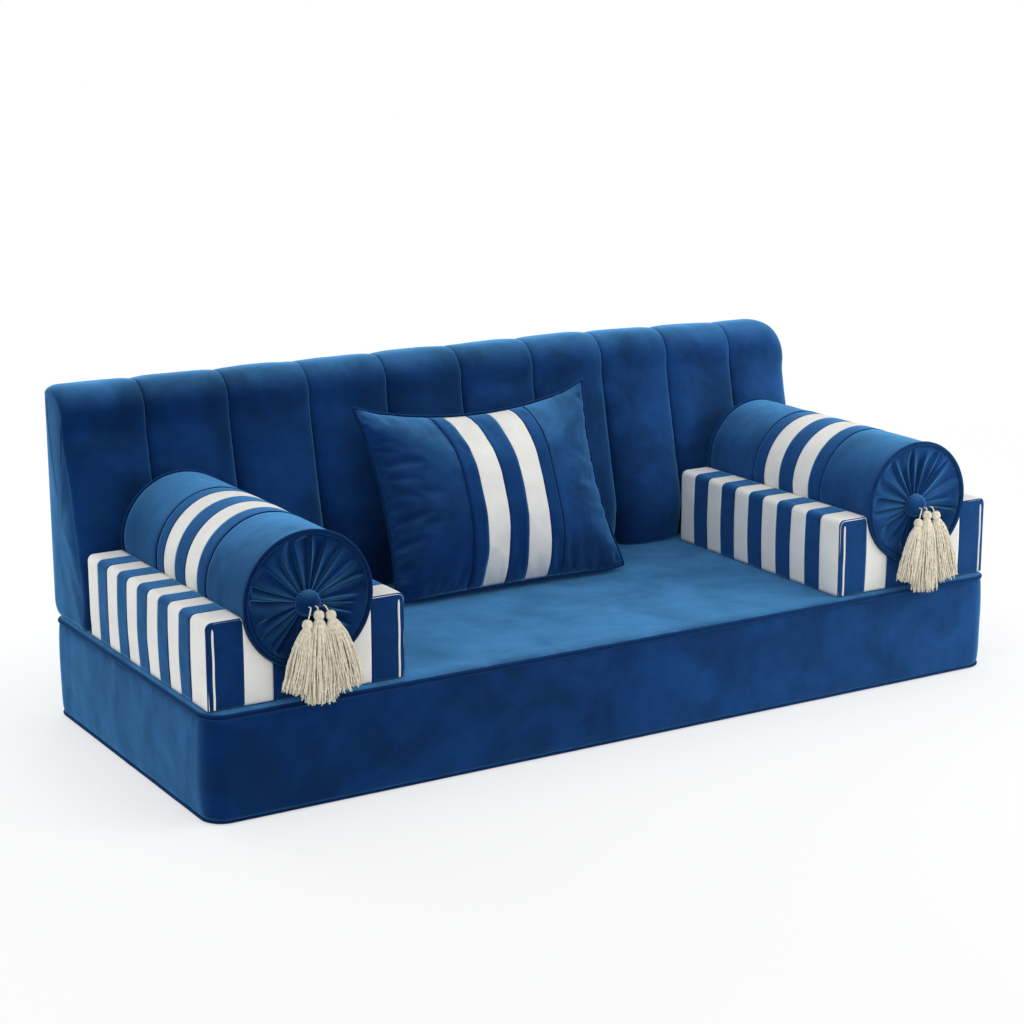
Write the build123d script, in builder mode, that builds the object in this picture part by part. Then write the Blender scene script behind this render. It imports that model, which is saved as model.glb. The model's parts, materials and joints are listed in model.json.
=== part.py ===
from build123d import *
import os
from math import cos, radians, sin, sqrt

# Majlis floor sofa, in millimetres. X runs along the seat, -Y is the front, +Z is up.
# The origin is the centre of the base cushion's footprint, on the floor.

os.makedirs("parts", exist_ok=True)

# Covers, seams and clearances
ease = 0.3                       # gap between soft pieces that lie against each other
cover = 4.5                      # velvet with the wadding bonded to it
piping_radius = 4.5              # cord along the main edges
welt_radius = 3.0                # thinner cord along the base's lower edge
seam_cord_radius = 2.0           # cord in the seams of the striped bands

# Base cushion
sofa_width = 1762.0
sofa_depth = 741.0
seam_height = 192.0              # centre of the upper piping
seat_height = 201.5
base_corner_radius = 40.0
crown_share = 0.9                # rounded part of the top panel's edge, of its height

# Zips, the same kind in the base and in the back
zip_length = 1500.0
zip_slot_height = 30.0
tape_thickness = 1.0
chain_width = 6.0
chain_thickness = 1.6
base_zip_height = 100.0
back_zip_height = 45.0           # above the back's own lower face
slider_length = 12.0
slider_wall = 1.2
tab_length = 20.0
tab_width = 5.0
tab_hole_share = 0.25            # hole's radius, of the tab's width

# Back cushion: one wedge with vertical channels
channel_count = 10
back_end_inset = 5.0             # each end, in from the base's end
back_height = 453.0
seam_base_depth = 113.0          # rear face to the stitched seams, at the seat
seam_belly_depth = 130.0         # the same, where a seam stands furthest forward
seam_shoulder_depth = 72.0       # the same, just under the rolled top
lobe_base_depth = 166.0          # rear face to the middle of a channel, at the seat
lobe_belly_depth = 176.0
lobe_shoulder_depth = 90.0
seam_top_drop = 9.0              # seams lie this far under the channels' top
belly_height = 90.0
shoulder_height = 376.0
left_end_roll = 25.0             # how far the last channel rolls back at each end
right_end_roll = 80.0
top_roll_share = 0.6
roll_angles = (18.0, 36.0, 54.0, 72.0, 90.0)
crest_share = 0.62               # highest line of the top, from the shoulder to the rear
foot_height_share = 0.42         # middle of the lower curve, of the belly's height
foot_lean_share = 0.67           # the same, from the foot's line out to the belly's
brow_across_share = 0.26         # middle of the upper curve, from the shoulder to the crest
brow_height_share = 0.74

# Arm cushions
arm_width = 380.0
arm_length = 540.0
arm_height = 164.5
arm_side_inset = 11.5            # outer side, in from the base's
arm_front_inset = 18.0           # front, in from the base's
arm_roll = 12.0
arm_cover = 3.0
arm_hem = 1.0                    # the side covers end this far above the arm's lower face
stripe_count = 11
front_edge_width = 10.0
front_line_width = 4.0
front_line_proud = 1.0
front_line_drop = 13.0           # the white lines end this far under the arm's top
front_blue_width = 54.0
front_white_width = 54.0

# Bolsters
bolster_radius = 121.0
bolster_length = 550.0
bolster_cover = 3.0
bolster_axis_height = 173.5      # above the seat
bolster_overhang = 12.5          # front ring ahead of the arm's front face
ring_proud = 2.5
trough_ease = 0.3
band_blue_width = 48.0
band_white_width = 49.0
band_edge_width = 37.5
disc_thickness = 4.5
disc_recess = 10.0
pleat_count = 24
pleat_rim_radius = 4.0
pleat_inner_radius = 1.6
pleat_foot_share = 1.1           # where the ridges start, of the button's radius
button_radius = 24.0
button_height = 22.0
button_drop = 8.0                # pulled down from the bolster's axis by the tassels

# Tassels, three at each bolster's front button
tassel_length = 187.0            # from the top of the head to the ends of the yarn
tassel_standoff = 22.0           # hanging line ahead of the front ring
knot_drop = 8.0                  # hanging line below the bolster's axis
tassel_cord_radius = 1.6
tassel_knot_share = 1.35         # knot where the cord turns down, of the cord's radius
tassel_head_radius = 9.5
tassel_start_share = 0.6         # where the yarn leaves the head, of the head's radius
tassel_skirt_radius = 24.0
knot_shares = (-0.38, 0.12, 0.75)            # across the button's radius
head_across_shares = (-0.14, 0.044, 0.234)   # across the bolster's radius
head_drop_shares = (0.302, 0.147, 0.197)     # below the axis, of the bolster's radius
tassel_leans = (-12.0, 0.0, 12.0)
tassel_length_shares = (0.71, 1.0, 0.85)
skirt_height_shares = (0.0, 0.25, 0.6, 1.0)
skirt_width_shares = (0.3, 0.62, 0.84, 1.0)
skirt_flatness_share = 0.6
flute_count = 10
flute_share = 0.08

# Throw pillow
pillow_width = 529.0
pillow_height = 407.0
pillow_thickness = 160.0
pillow_lean = 25.0
pillow_shift = -15.0             # centre of the pillow from the sofa's middle
pillow_piping_radius = 3.5
pillow_cover = 3.0
pillow_gap = 1.0                 # rear of the pillow to the front of the back
pillow_seam_gap = 1.5            # edge cord to the edges of the two faces
corner_limit_share = 0.9
top_sag = 26.0                   # how far each edge draws in between its corners
side_sag = 11.0
bottom_sag = 8.0
ear_radius = 9.0
pillow_inset_shares = (0.0, 0.045, 0.15, 0.27, 0.35)    # of the pillow's height
pillow_rise_shares = (0.0, 0.36, 0.74, 0.95, 1.0)       # of half its thickness
pillow_sag_shares = (1.0, 0.8, 0.4, 0.12, 0.04)
pillow_corner_shares = (0.0, 0.03, 0.07, 0.09, 0.085)   # added to the ears' radius
pillow_blue_width = 48.0
pillow_white_width = 52.0
pillow_edge_width = 34.0
pillow_seam_proud = 1.5

# Sizes worked out from the ones above
face_x = sofa_width / 2 - piping_radius
face_y = sofa_depth / 2 - piping_radius
rear_y = sofa_depth / 2
cushion_bottom = seat_height + ease
inner_step = max(cover, piping_radius) + ease
mid_quarter = radians(90 / 2)    # middle of a quarter turn


def write(piece, name):
    """Label one finished piece and write it under its own name."""
    piece.part.label = name
    export_step(piece.part, f"parts/{name}.step")


def block(half_x, half_y, corner, low, high):
    """A rounded block centred on the origin, between two heights."""
    with BuildPart() as piece:
        with BuildSketch(Plane.XY.offset(low)):
            RectangleRounded(2 * half_x, 2 * half_y, corner)
        extrude(amount=high - low)
    return piece


def cord_round(half_x, half_y, corner, height, radius):
    """A round cord that follows a rounded rectangle at one height."""
    corners = [
        (0, -half_y, height),
        (half_x, -half_y, height),
        (half_x, half_y, height),
        (-half_x, half_y, height),
        (-half_x, -half_y, height),
    ]
    with BuildPart() as piece:
        with BuildLine() as route:
            FilletPolyline(*corners, radius=(0, corner, corner, corner, corner), close=True)
        with BuildSketch(Plane(origin=corners[0], z_dir=(1, 0, 0))):
            Circle(radius)
        sweep(path=route.wires()[0])
    return piece


def zip_tape(face, centre_z):
    """Tape and closed chain of a zip in a slot of a rear panel whose outer face is at y = face."""
    inner = face - cover
    with BuildPart() as piece:
        with Locations((0, inner + tape_thickness / 2, centre_z)):
            Box(zip_length - 2 * ease, tape_thickness, zip_slot_height - 2 * ease)
        with Locations((0, inner + tape_thickness + chain_thickness / 2, centre_z)):
            Box(zip_length - 2 * ease, chain_thickness, chain_width)
    return piece


def zip_slider(face, centre_z):
    """Slider and pull tab at the closed end of a zip, all of it inside the slot."""
    chain_top = face - cover + tape_thickness + chain_thickness
    flange_low = face - cover + tape_thickness + ease
    plate_low = chain_top + ease
    plate_high = plate_low + slider_wall
    start = zip_length / 2 - 2 * slider_length
    width = chain_width + 2 * (ease + slider_wall)
    with BuildPart() as piece:
        with Locations((start, (plate_low + plate_high) / 2, centre_z)):
            Box(slider_length, slider_wall, width)
        for side in (-1, 1):
            flange_z = centre_z + side * (width - slider_wall) / 2
            with Locations((start, (flange_low + plate_high) / 2, flange_z)):
                Box(slider_length, plate_high - flange_low, slider_wall)
        tab_x = start - (slider_length + tab_length) / 2
        with Locations((tab_x, (plate_low + plate_high) / 2, centre_z)):
            Box(tab_length, slider_wall, tab_width)
            Cylinder(tab_hole_share * tab_width, cover, rotation=(90, 0, 0), mode=Mode.SUBTRACT)
    return piece


def cut_zip_slot(face, centre_z):
    """Open the zip's slot through the panel of the part that is being built."""
    with Locations((0, face - cover / 2, centre_z)):
        Box(zip_length, 2 * cover, zip_slot_height, mode=Mode.SUBTRACT)


# Base cushion: foam block, boxed cover in three panels, two cords and the rear zip
welt_height = cover
band_bottom = welt_height + welt_radius + ease
band_top = seam_height - piping_radius - ease
panel_bottom = seam_height + piping_radius + ease

base_foam_core = block(
    face_x - inner_step,
    face_y - inner_step,
    base_corner_radius - inner_step,
    cover + ease,
    panel_bottom - ease,
)
write(base_foam_core, "base_foam_core")

with BuildPart() as base_top_panel:
    with BuildSketch(Plane.XY.offset(panel_bottom)):
        RectangleRounded(2 * face_x, 2 * face_y, base_corner_radius)
    extrude(amount=seat_height - panel_bottom)
    crown_edges = base_top_panel.faces().sort_by(Axis.Z)[-1].edges()
    fillet(crown_edges, radius=crown_share * (seat_height - panel_bottom))
write(base_top_panel, "base_top_panel")

with BuildPart() as base_side_band:
    with BuildSketch(Plane.XY.offset(band_bottom)):
        RectangleRounded(2 * face_x, 2 * face_y, base_corner_radius)
        RectangleRounded(
            2 * (face_x - cover),
            2 * (face_y - cover),
            base_corner_radius - cover,
            mode=Mode.SUBTRACT,
        )
    extrude(amount=band_top - band_bottom)
    cut_zip_slot(face_y, base_zip_height)
write(base_side_band, "base_side_band")

base_bottom_panel = block(
    face_x - welt_radius - ease,
    face_y - welt_radius - ease,
    base_corner_radius - welt_radius - ease,
    0,
    cover,
)
write(base_bottom_panel, "base_bottom_panel")

base_top_piping = cord_round(face_x, face_y, base_corner_radius, seam_height, piping_radius)
write(base_top_piping, "base_top_piping")

base_bottom_piping = cord_round(face_x, face_y, base_corner_radius, welt_height, welt_radius)
write(base_bottom_piping, "base_bottom_piping")

write(zip_tape(face_y, base_zip_height), "base_zip")
write(zip_slider(face_y, base_zip_height), "base_zip_slider")


# Back cushion. Every outline of it is drawn in a plane across X, from the lower front edge
# up the front and over the rolled top to the rear, and lies between the seam's and the channel's.
back_half = sofa_width / 2 - back_end_inset
channel_width = 2 * back_half / channel_count
back_end = back_half - cover - ease
rear_panel_front = rear_y - cover


def back_points(bulge, draw, inset=0, inner=False):
    """Outline points (y, z) at one place along X: bulge is 0 at a seam and 1 mid-channel.

    An inner outline is never further out than the seams, less its inset.
    """
    def place(seam, lobe):
        depth = (seam + bulge * (lobe - seam)) * (1 - draw / lobe_belly_depth)
        return rear_y + inset - (min(depth, seam) if inner else depth)

    drop = (1 - bulge) * seam_top_drop + top_roll_share * draw
    drop = max(drop, seam_top_drop) if inner else drop
    base_y = place(seam_base_depth, lobe_base_depth)
    belly_y = place(seam_belly_depth, lobe_belly_depth)
    shoulder_y = place(seam_shoulder_depth, lobe_shoulder_depth)
    top_z = back_height - drop - inset
    shoulder_z = shoulder_height - top_roll_share * draw - inset / 2
    rear = rear_panel_front - ease
    crest_y = shoulder_y + crest_share * (rear - shoulder_y)
    low_arc = (
        base_y + foot_lean_share * (belly_y - base_y),
        foot_height_share * belly_height,
    )
    high_arc = (
        shoulder_y + brow_across_share * (crest_y - shoulder_y),
        shoulder_z + brow_height_share * (top_z - shoulder_z),
    )
    return [
        (base_y, 0),
        low_arc,
        (belly_y, belly_height),
        (shoulder_y, shoulder_z),
        high_arc,
        (crest_y, top_z),
        (rear, top_z),
    ]


def across(x):
    """Plane across X at one place, with the sketch's axes along Y and Z, on the seat."""
    return Plane(origin=(x, 0, cushion_bottom), x_dir=(0, 1, 0), z_dir=(1, 0, 0))


def front_chain(points):
    """The outline's front and top, as two arcs and two lines, in the open BuildLine."""
    ThreePointArc(points[0], points[1], points[2])
    Line(points[2], points[3])
    ThreePointArc(points[3], points[4], points[5])
    Line(points[5], points[6])


def panel_section(x, bulge, draw):
    """Section of the padded front panel between the core's outline and the outer one."""
    outer = back_points(bulge, draw)
    inner = back_points(1, draw, cover, inner=True)
    with BuildSketch(across(x)) as section:
        with BuildLine():
            front_chain(outer)
            Line(outer[6], inner[6])
            front_chain(inner)
            Line(inner[0], outer[0])
        make_face()
    return section.sketch


def core_section(x, draw):
    """Section of the foam wedge, clear of the covers all round."""
    points = back_points(1, draw, cover + ease, inner=True)
    with BuildSketch(across(x)) as section:
        with BuildLine():
            front_chain(points)
            Line(points[6], (points[6][0], 0))
            Line((points[6][0], 0), points[0])
        make_face()
    return section.sketch


def end_places(side, roll):
    """Places along X of the rolled end's sections, with how far each is drawn back."""
    places = [(side * (back_end - roll), 0)]
    for angle in roll_angles:
        reach = side * (back_end - roll + roll * sin(radians(angle)))
        places.append((reach, roll * (1 - cos(radians(angle)))))
    return places


end_rolls = {-1: left_end_roll, 1: right_end_roll}

with BuildPart() as back_channel_panel:
    for index in range(channel_count):
        low = -back_half + index * channel_width
        high = low + channel_width
        middle = (low + high) / 2
        side = {0: -1, channel_count - 1: 1}.get(index, 0)
        if side:
            seam_x = low if side > 0 else high
            places = end_places(side, end_rolls[side])
            flat = panel_section(places[0][0], 1, 0)
            loft([panel_section(seam_x, 0, 0), panel_section(middle, 1, 0), flat])
            loft([panel_section(x, 1, draw) for x, draw in places], ruled=True)
        else:
            seams = [panel_section(x, 0, 0) for x in (low, high)]
            loft([seams[0], panel_section(middle, 1, 0), seams[1]])
write(back_channel_panel, "back_channel_panel")

with BuildPart() as back_foam_core:
    straight = (-back_end + left_end_roll, back_end - right_end_roll)
    loft([core_section(x, 0) for x in straight], ruled=True)
    for side, roll in end_rolls.items():
        loft([core_section(x, draw) for x, draw in end_places(side, roll)], ruled=True)
    split(bisect_by=Plane.XY.offset(cushion_bottom + cover + ease), keep=Keep.TOP)
write(back_foam_core, "back_foam_core")

with BuildPart() as back_end_panels:
    for side, roll in end_rolls.items():
        outer = back_points(1, roll)
        with BuildSketch(across(side * back_half)):
            with BuildLine():
                front_chain(outer)
                Line(outer[6], (rear_y, outer[6][1]))
                Line((rear_y, outer[6][1]), (rear_y, 0))
                Line((rear_y, 0), outer[0])
            make_face()
        extrude(amount=-side * cover)
write(back_end_panels, "back_end_panels")

rear_top = back_height - seam_top_drop
rear_floor = cover + ease
with BuildPart() as back_rear_panel:
    with BuildSketch(Plane(origin=(0, rear_y, cushion_bottom), x_dir=(1, 0, 0), z_dir=(0, -1, 0))):
        with BuildLine():
            Line((-back_end, rear_floor), (back_end, rear_floor))
            for side in (1, -1):
                roll = end_rolls[side]
                drop = top_roll_share * roll
                knee = side * (back_end - roll + roll * sin(mid_quarter))
                knee_z = rear_top - drop * (1 - cos(mid_quarter))
                shoulder = (side * (back_end - roll), rear_top)
                Line((side * back_end, rear_floor), (side * back_end, rear_top - drop))
                ThreePointArc((side * back_end, rear_top - drop), (knee, knee_z), shoulder)
            Line((-back_end + left_end_roll, rear_top), (back_end - right_end_roll, rear_top))
        make_face()
    extrude(amount=cover)
    cut_zip_slot(rear_y, cushion_bottom + back_zip_height)
write(back_rear_panel, "back_rear_panel")

bottom_front = back_points(0, 0, cover)[0][0] + ease
with BuildPart() as back_bottom_panel:
    with BuildSketch(Plane.XY.offset(cushion_bottom)):
        with Locations((0, (bottom_front + rear_y) / 2)):
            Rectangle(2 * (back_end - right_end_roll), rear_y - bottom_front)
    extrude(amount=cover)
write(back_bottom_panel, "back_bottom_panel")

write(zip_tape(rear_y, cushion_bottom + back_zip_height), "back_zip")
write(zip_slider(rear_y, cushion_bottom + back_zip_height), "back_zip_slider")


# Arm cushions, each with a half-round trough in its top that the bolster lies in
arm_front = -rear_y + arm_front_inset
arm_rear = arm_front + arm_length
arm_centre = sofa_width / 2 - arm_side_inset - arm_width / 2
bolster_axis = bolster_axis_height - ease
trough_radius = bolster_radius + ring_proud + trough_ease
stripe_length = (arm_length - 2 * arm_cover) / stripe_count


def arm_plane(centre_x, y):
    """Plane across the arm at one place along Y, facing the front, on the seat."""
    return Plane(origin=(centre_x, y, cushion_bottom), x_dir=(1, 0, 0), z_dir=(0, -1, 0))


def arm_face(inset, floor, mode=Mode.ADD):
    """The arm's section, drawn in by one inset all round, above a floor height."""
    half = arm_width / 2 - inset
    top = arm_height - inset
    roll = arm_roll - inset
    trough = trough_radius + inset
    lip = sqrt(trough**2 - (bolster_axis - top) ** 2)
    bend = roll * (1 - cos(mid_quarter))
    with BuildLine() as outline:
        for side in (-1, 1):
            Line((side * half, floor), (side * half, top - roll))
            ThreePointArc(
                (side * half, top - roll),
                (side * (half - bend), top - bend),
                (side * (half - roll), top),
            )
            Line((side * (half - roll), top), (side * lip, top))
        ThreePointArc((-lip, top), (0, bolster_axis - trough), (lip, top))
        Line((half, floor), (-half, floor))
    make_face(outline.edges(), mode=mode)


def arm_stripes(centre_x, first):
    """Every second stripe of the cover that runs up, over the top and through the trough."""
    with BuildPart() as piece:
        for index in range(first, stripe_count, 2):
            start = arm_rear - arm_cover - index * stripe_length
            with BuildSketch(arm_plane(centre_x, start)):
                arm_face(0, arm_hem)
                arm_face(arm_cover, 0, mode=Mode.SUBTRACT)
            extrude(amount=stripe_length)
    return piece


def arm_front_piece(centre_x, spans):
    """Upright strips of the front panel, each between two places across the arm."""
    with BuildPart() as piece:
        for low, high in spans:
            with BuildSketch(arm_plane(centre_x, arm_front + arm_cover)):
                arm_face(0, arm_hem)
                with Locations(((low + high) / 2, arm_height / 2)):
                    Rectangle(high - low, 2 * arm_height, mode=Mode.INTERSECT)
            extrude(amount=arm_cover)
    return piece


line_low = arm_width / 2 - front_edge_width - front_line_width
line_centre = line_low + front_line_width / 2
blue_low = line_low - front_blue_width
white_low = blue_low - front_white_width


def arm_front_lines(centre_x, spread, depth, mode=Mode.ADD):
    """The two upright white lines of the front panel, or the slots that hold them."""
    line_top = arm_height - front_line_drop
    with Locations(arm_plane(centre_x, arm_front + arm_cover)):
        for side in (-1, 1):
            with Locations((side * line_centre, (arm_hem + line_top) / 2, depth / 2)):
                Box(front_line_width + 2 * spread, line_top - arm_hem + 2 * spread, depth, mode=mode)


def arm(side_name, centre_x):
    """All pieces of one arm cushion."""
    with BuildPart() as foam:
        with BuildSketch(arm_plane(centre_x, arm_rear - arm_cover - ease)):
            arm_face(arm_cover + ease, arm_cover + ease)
        extrude(amount=arm_length - 2 * (arm_cover + ease))
    write(foam, f"{side_name}_arm_foam_core")

    write(arm_stripes(centre_x, 0), f"{side_name}_arm_white_stripes")
    write(arm_stripes(centre_x, 1), f"{side_name}_arm_blue_stripes")

    blue_spans = [
        (-arm_width / 2, -blue_low),
        (-white_low, white_low),
        (blue_low, arm_width / 2),
    ]
    with BuildPart() as blue:
        add(arm_front_piece(centre_x, blue_spans).part)
        arm_front_lines(centre_x, ease, arm_cover, mode=Mode.SUBTRACT)
    write(blue, f"{side_name}_arm_front_blue_panels")

    white_spans = [(-blue_low, -white_low), (white_low, blue_low)]
    write(arm_front_piece(centre_x, white_spans), f"{side_name}_arm_front_white_panels")

    with BuildPart() as lines:
        arm_front_lines(centre_x, 0, arm_cover + front_line_proud)
    write(lines, f"{side_name}_arm_front_piping")

    with BuildPart() as rear:
        with BuildSketch(arm_plane(centre_x, arm_rear)):
            arm_face(0, arm_hem)
        extrude(amount=arm_cover)
    write(rear, f"{side_name}_arm_rear_panel")

    with BuildPart() as floor:
        with BuildSketch(Plane.XY.offset(cushion_bottom)):
            with Locations((centre_x, (arm_front + arm_rear) / 2)):
                Rectangle(
                    arm_width - 2 * (arm_cover + ease),
                    arm_length - 2 * (arm_cover + ease),
                )
        extrude(amount=arm_cover)
    write(floor, f"{side_name}_arm_bottom_panel")


# Bolsters. Their profiles are drawn in the level plane through the axis: x is the radius
# and y runs along the axis from the middle of the bolster.
bolster_z = cushion_bottom + bolster_axis
ring_front = arm_front - bolster_overhang
bolster_middle = ring_front + bolster_length / 2
ring_centre = bolster_length / 2 - piping_radius
ring_radius = bolster_radius + ring_proud - piping_radius
sleeve_end = ring_centre - piping_radius - ease
seam_place = band_blue_width / 2 + band_white_width + band_edge_width
seam_cord_place = bolster_radius - bolster_cover + seam_cord_radius
core_radius = bolster_radius - bolster_cover - ease
disc_radius = ring_radius - piping_radius - ease
disc_rim = sleeve_end + ease
button_reach = button_radius + button_drop


def disc_surface(radius):
    """How far the disc's outer face lies from the bolster's middle, at one radius."""
    return disc_rim + disc_thickness - disc_recess * (1 - radius / disc_radius)


def bolster_plane(centre_x):
    """Level plane through the bolster's axis, with its origin in the middle."""
    return Plane(origin=(centre_x, bolster_middle, bolster_z), x_dir=(1, 0, 0), z_dir=(0, 0, 1))


def turned(centre_x, outlines):
    """Closed outlines in the axis plane, turned about the bolster's axis."""
    with BuildPart() as piece:
        with BuildSketch(bolster_plane(centre_x)):
            for outline in outlines:
                with BuildLine():
                    Polyline(*outline, close=True)
                make_face()
        revolve(axis=Axis((centre_x, bolster_middle, bolster_z), (0, 1, 0)))
    return piece


def tube_outline(low, high):
    """Outline of a stretch of the bolster's cover between two places along the axis."""
    inner = bolster_radius - bolster_cover
    return [(inner, low), (bolster_radius, low), (bolster_radius, high), (inner, high)]


def rings(centre_x):
    """Four cords round the bolster: one at each end and one at each side of the band."""
    with BuildPart() as piece:
        with BuildSketch(bolster_plane(centre_x)):
            for side in (-1, 1):
                with Locations((ring_radius, side * ring_centre)):
                    Circle(piping_radius)
                with Locations((seam_cord_place, side * seam_place)):
                    Circle(seam_cord_radius)
        revolve(axis=Axis((centre_x, bolster_middle, bolster_z), (0, 1, 0)))
    return piece


def disc_point(centre_x, side, across_x, up):
    """Point of a disc's outer face at one place across it, from the axis."""
    out = disc_surface(sqrt(across_x**2 + up**2))
    return Vector(centre_x + across_x, bolster_middle + side * out, bolster_z + up)


def gathered_discs(centre_x):
    """End discs, each a shallow cone with ridges where the velvet is gathered to the button."""
    outlines = []
    for side in (-1, 1):
        outlines.append(
            [
                (0, side * (disc_surface(0) - disc_thickness)),
                (disc_radius, side * disc_rim),
                (disc_radius, side * disc_surface(disc_radius)),
                (0, side * disc_surface(0)),
            ]
        )
    rim = disc_radius - pleat_rim_radius
    foot = pleat_foot_share * button_radius
    with BuildPart() as piece:
        add(turned(centre_x, outlines).part)
        for side in (-1, 1):
            for index in range(pleat_count):
                turn = radians(360 * index / pleat_count)
                start = disc_point(centre_x, side, foot * cos(turn), foot * sin(turn) - button_drop)
                end = disc_point(centre_x, side, rim * cos(turn), rim * sin(turn))
                with Locations(Plane(origin=start, z_dir=end - start)):
                    Cone(
                        pleat_inner_radius,
                        pleat_rim_radius,
                        (end - start).length,
                        align=(Align.CENTER, Align.CENTER, Align.MIN),
                    )
    return piece


def buttons(centre_x):
    """Covered domed buttons in both discs, a little below the bolster's axis."""
    dome = (button_radius**2 + button_height**2) / (2 * button_height)
    bend = dome * sin(mid_quarter)
    button_z = bolster_z - button_drop
    with BuildPart() as piece:
        with BuildSketch(bolster_plane(centre_x).offset(-button_drop)):
            for side in (-1, 1):
                seat = disc_surface(button_reach) + ease
                crest = seat + button_height
                on_dome = (bend, side * (crest - dome + bend))
                with BuildLine():
                    Line((0, side * seat), (button_radius, side * seat))
                    ThreePointArc((button_radius, side * seat), on_dome, (0, side * crest))
                    Line((0, side * crest), (0, side * seat))
                make_face()
        revolve(axis=Axis((centre_x, bolster_middle, button_z), (0, 1, 0)))
    return piece


def bolster(side_name, centre_x):
    """All pieces of one bolster, without its tassels."""
    groove = seam_cord_radius + ease
    core_outline = [
        (0, -disc_surface(0) + disc_thickness + ease),
        (disc_radius, -disc_rim + ease),
        (core_radius, -disc_rim + ease),
        (core_radius, disc_rim - ease),
        (disc_radius, disc_rim - ease),
        (0, disc_surface(0) - disc_thickness - ease),
    ]
    write(turned(centre_x, [core_outline]), f"{side_name}_bolster_core")

    sleeves = [
        tube_outline(-sleeve_end, -seam_place - groove),
        tube_outline(seam_place + groove, sleeve_end),
    ]
    write(turned(centre_x, sleeves), f"{side_name}_bolster_velvet_sleeves")

    blue_half = band_blue_width / 2
    white_end = blue_half + band_white_width
    blue = [
        tube_outline(-seam_place + groove, -white_end),
        tube_outline(-blue_half, blue_half),
        tube_outline(white_end, seam_place - groove),
    ]
    write(turned(centre_x, blue), f"{side_name}_bolster_blue_bands")
    white = [tube_outline(-white_end, -blue_half), tube_outline(blue_half, white_end)]
    write(turned(centre_x, white), f"{side_name}_bolster_white_bands")

    write(rings(centre_x), f"{side_name}_bolster_piping")
    write(gathered_discs(centre_x), f"{side_name}_bolster_end_discs")
    write(buttons(centre_x), f"{side_name}_bolster_buttons")


# Tassels: each hangs from the button by a short cord that swings at a common hanging line
hang_y = ring_front - tassel_standoff
knot_z = bolster_z - knot_drop
button_crest = disc_surface(button_reach) + ease + button_height
button_dome = (button_radius**2 + button_height**2) / (2 * button_height)


def button_front(across_x):
    """Y of the front button's surface where the cord of a knot at its height meets it."""
    nearest = max(0, sqrt(across_x**2 + (knot_drop - button_drop) ** 2) - tassel_cord_radius)
    return bolster_middle - (button_crest - button_dome + sqrt(button_dome**2 - nearest**2))


def skirt_outline(rx, ry):
    """Fluted oval of the yarn's outline in the open BuildSketch."""
    corners = []
    for index in range(flute_count):
        turn = radians(360 * index / flute_count)
        corners.append((rx * cos(turn), ry * sin(turn)))
    with BuildLine() as outline:
        for index, corner in enumerate(corners):
            following = corners[(index + 1) % flute_count]
            turn = radians(360 * (index + 0.5) / flute_count)
            reach = (1 + flute_share) * sqrt(cos(radians(180 / flute_count)))
            crest = (reach * rx * cos(turn), reach * ry * sin(turn))
            ThreePointArc(corner, crest, following)
    make_face(outline.edges())


def tassel(name, centre_x, number):
    """Cord, bound head and fluted skirt of one tassel."""
    knot_x = button_radius * knot_shares[number]
    head_x = bolster_radius * head_across_shares[number]
    head_z = bolster_z - bolster_radius * head_drop_shares[number]
    lean = tassel_leans[number]
    start = tassel_head_radius * tassel_start_share
    length = tassel_length * tassel_length_shares[number] - tassel_head_radius - start
    widest = tassel_skirt_radius / (1 + flute_share)
    knot = (centre_x + knot_x, hang_y, knot_z)
    head = (centre_x + head_x, hang_y, head_z)
    cord_run = (head[0] - knot[0], 0, head_z - knot_z)
    cord_length = sqrt(cord_run[0] ** 2 + cord_run[2] ** 2)
    stub = button_front(knot_x) - ease - hang_y
    down = (sin(radians(lean)), 0, -cos(radians(lean)))
    skirt_plane = Plane(origin=head, x_dir=(cos(radians(lean)), 0, sin(radians(lean))), z_dir=down)
    with BuildPart() as piece:
        with Locations(knot):
            Sphere(tassel_knot_share * tassel_cord_radius, rotation=(0, 90, 0))
        with Locations(Plane(origin=knot, z_dir=(0, 1, 0))):
            Cylinder(tassel_cord_radius, stub, align=(Align.CENTER, Align.CENTER, Align.MIN))
        with Locations(Plane(origin=knot, z_dir=cord_run)):
            Cylinder(tassel_cord_radius, cord_length, align=(Align.CENTER, Align.CENTER, Align.MIN))
        with Locations(head):
            Sphere(tassel_head_radius, rotation=(90, 0, 0))
        sections = []
        for height, width in zip(skirt_height_shares, skirt_width_shares):
            with BuildSketch(skirt_plane.offset(start + length * height)) as section:
                skirt_outline(widest * width, widest * width * skirt_flatness_share)
            sections.append(section.sketch)
        loft(sections)
    write(piece, name)


bolster_centre = arm_centre
for side_name, sign in (("left", -1), ("right", 1)):
    arm(side_name, sign * arm_centre)
    bolster(side_name, sign * bolster_centre)
    for number in range(len(tassel_leans)):
        tassel(f"{side_name}_tassel_{number + 1}", sign * bolster_centre, number)


# Throw pillow. It stands on the tips of its lower ears and leans on the back's channels.
pillow_edge = 2 * pillow_piping_radius + pillow_seam_gap
fill_edge = pillow_edge + 2 * pillow_cover
edge_bend = ear_radius + pillow_edge - pillow_piping_radius
half_thickness = pillow_thickness / 2


def pillow_outline(plane, inset, sag, corner):
    """Rectangle on a plane whose four sides draw in between the corners."""
    x = pillow_width / 2 - inset
    y = pillow_height / 2 - inset
    with BuildSketch(plane) as outline:
        with BuildLine():
            ThreePointArc((-x, -y), (0, -y + bottom_sag * sag), (x, -y))
            ThreePointArc((x, -y), (x - side_sag * sag, 0), (x, y))
            ThreePointArc((x, y), (0, y - top_sag * sag), (-x, y))
            ThreePointArc((-x, y), (-x + side_sag * sag, 0), (-x, -y))
        make_face()
        fillet(outline.vertices(), radius=min(corner, corner_limit_share * y))
    return outline.sketch


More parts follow.
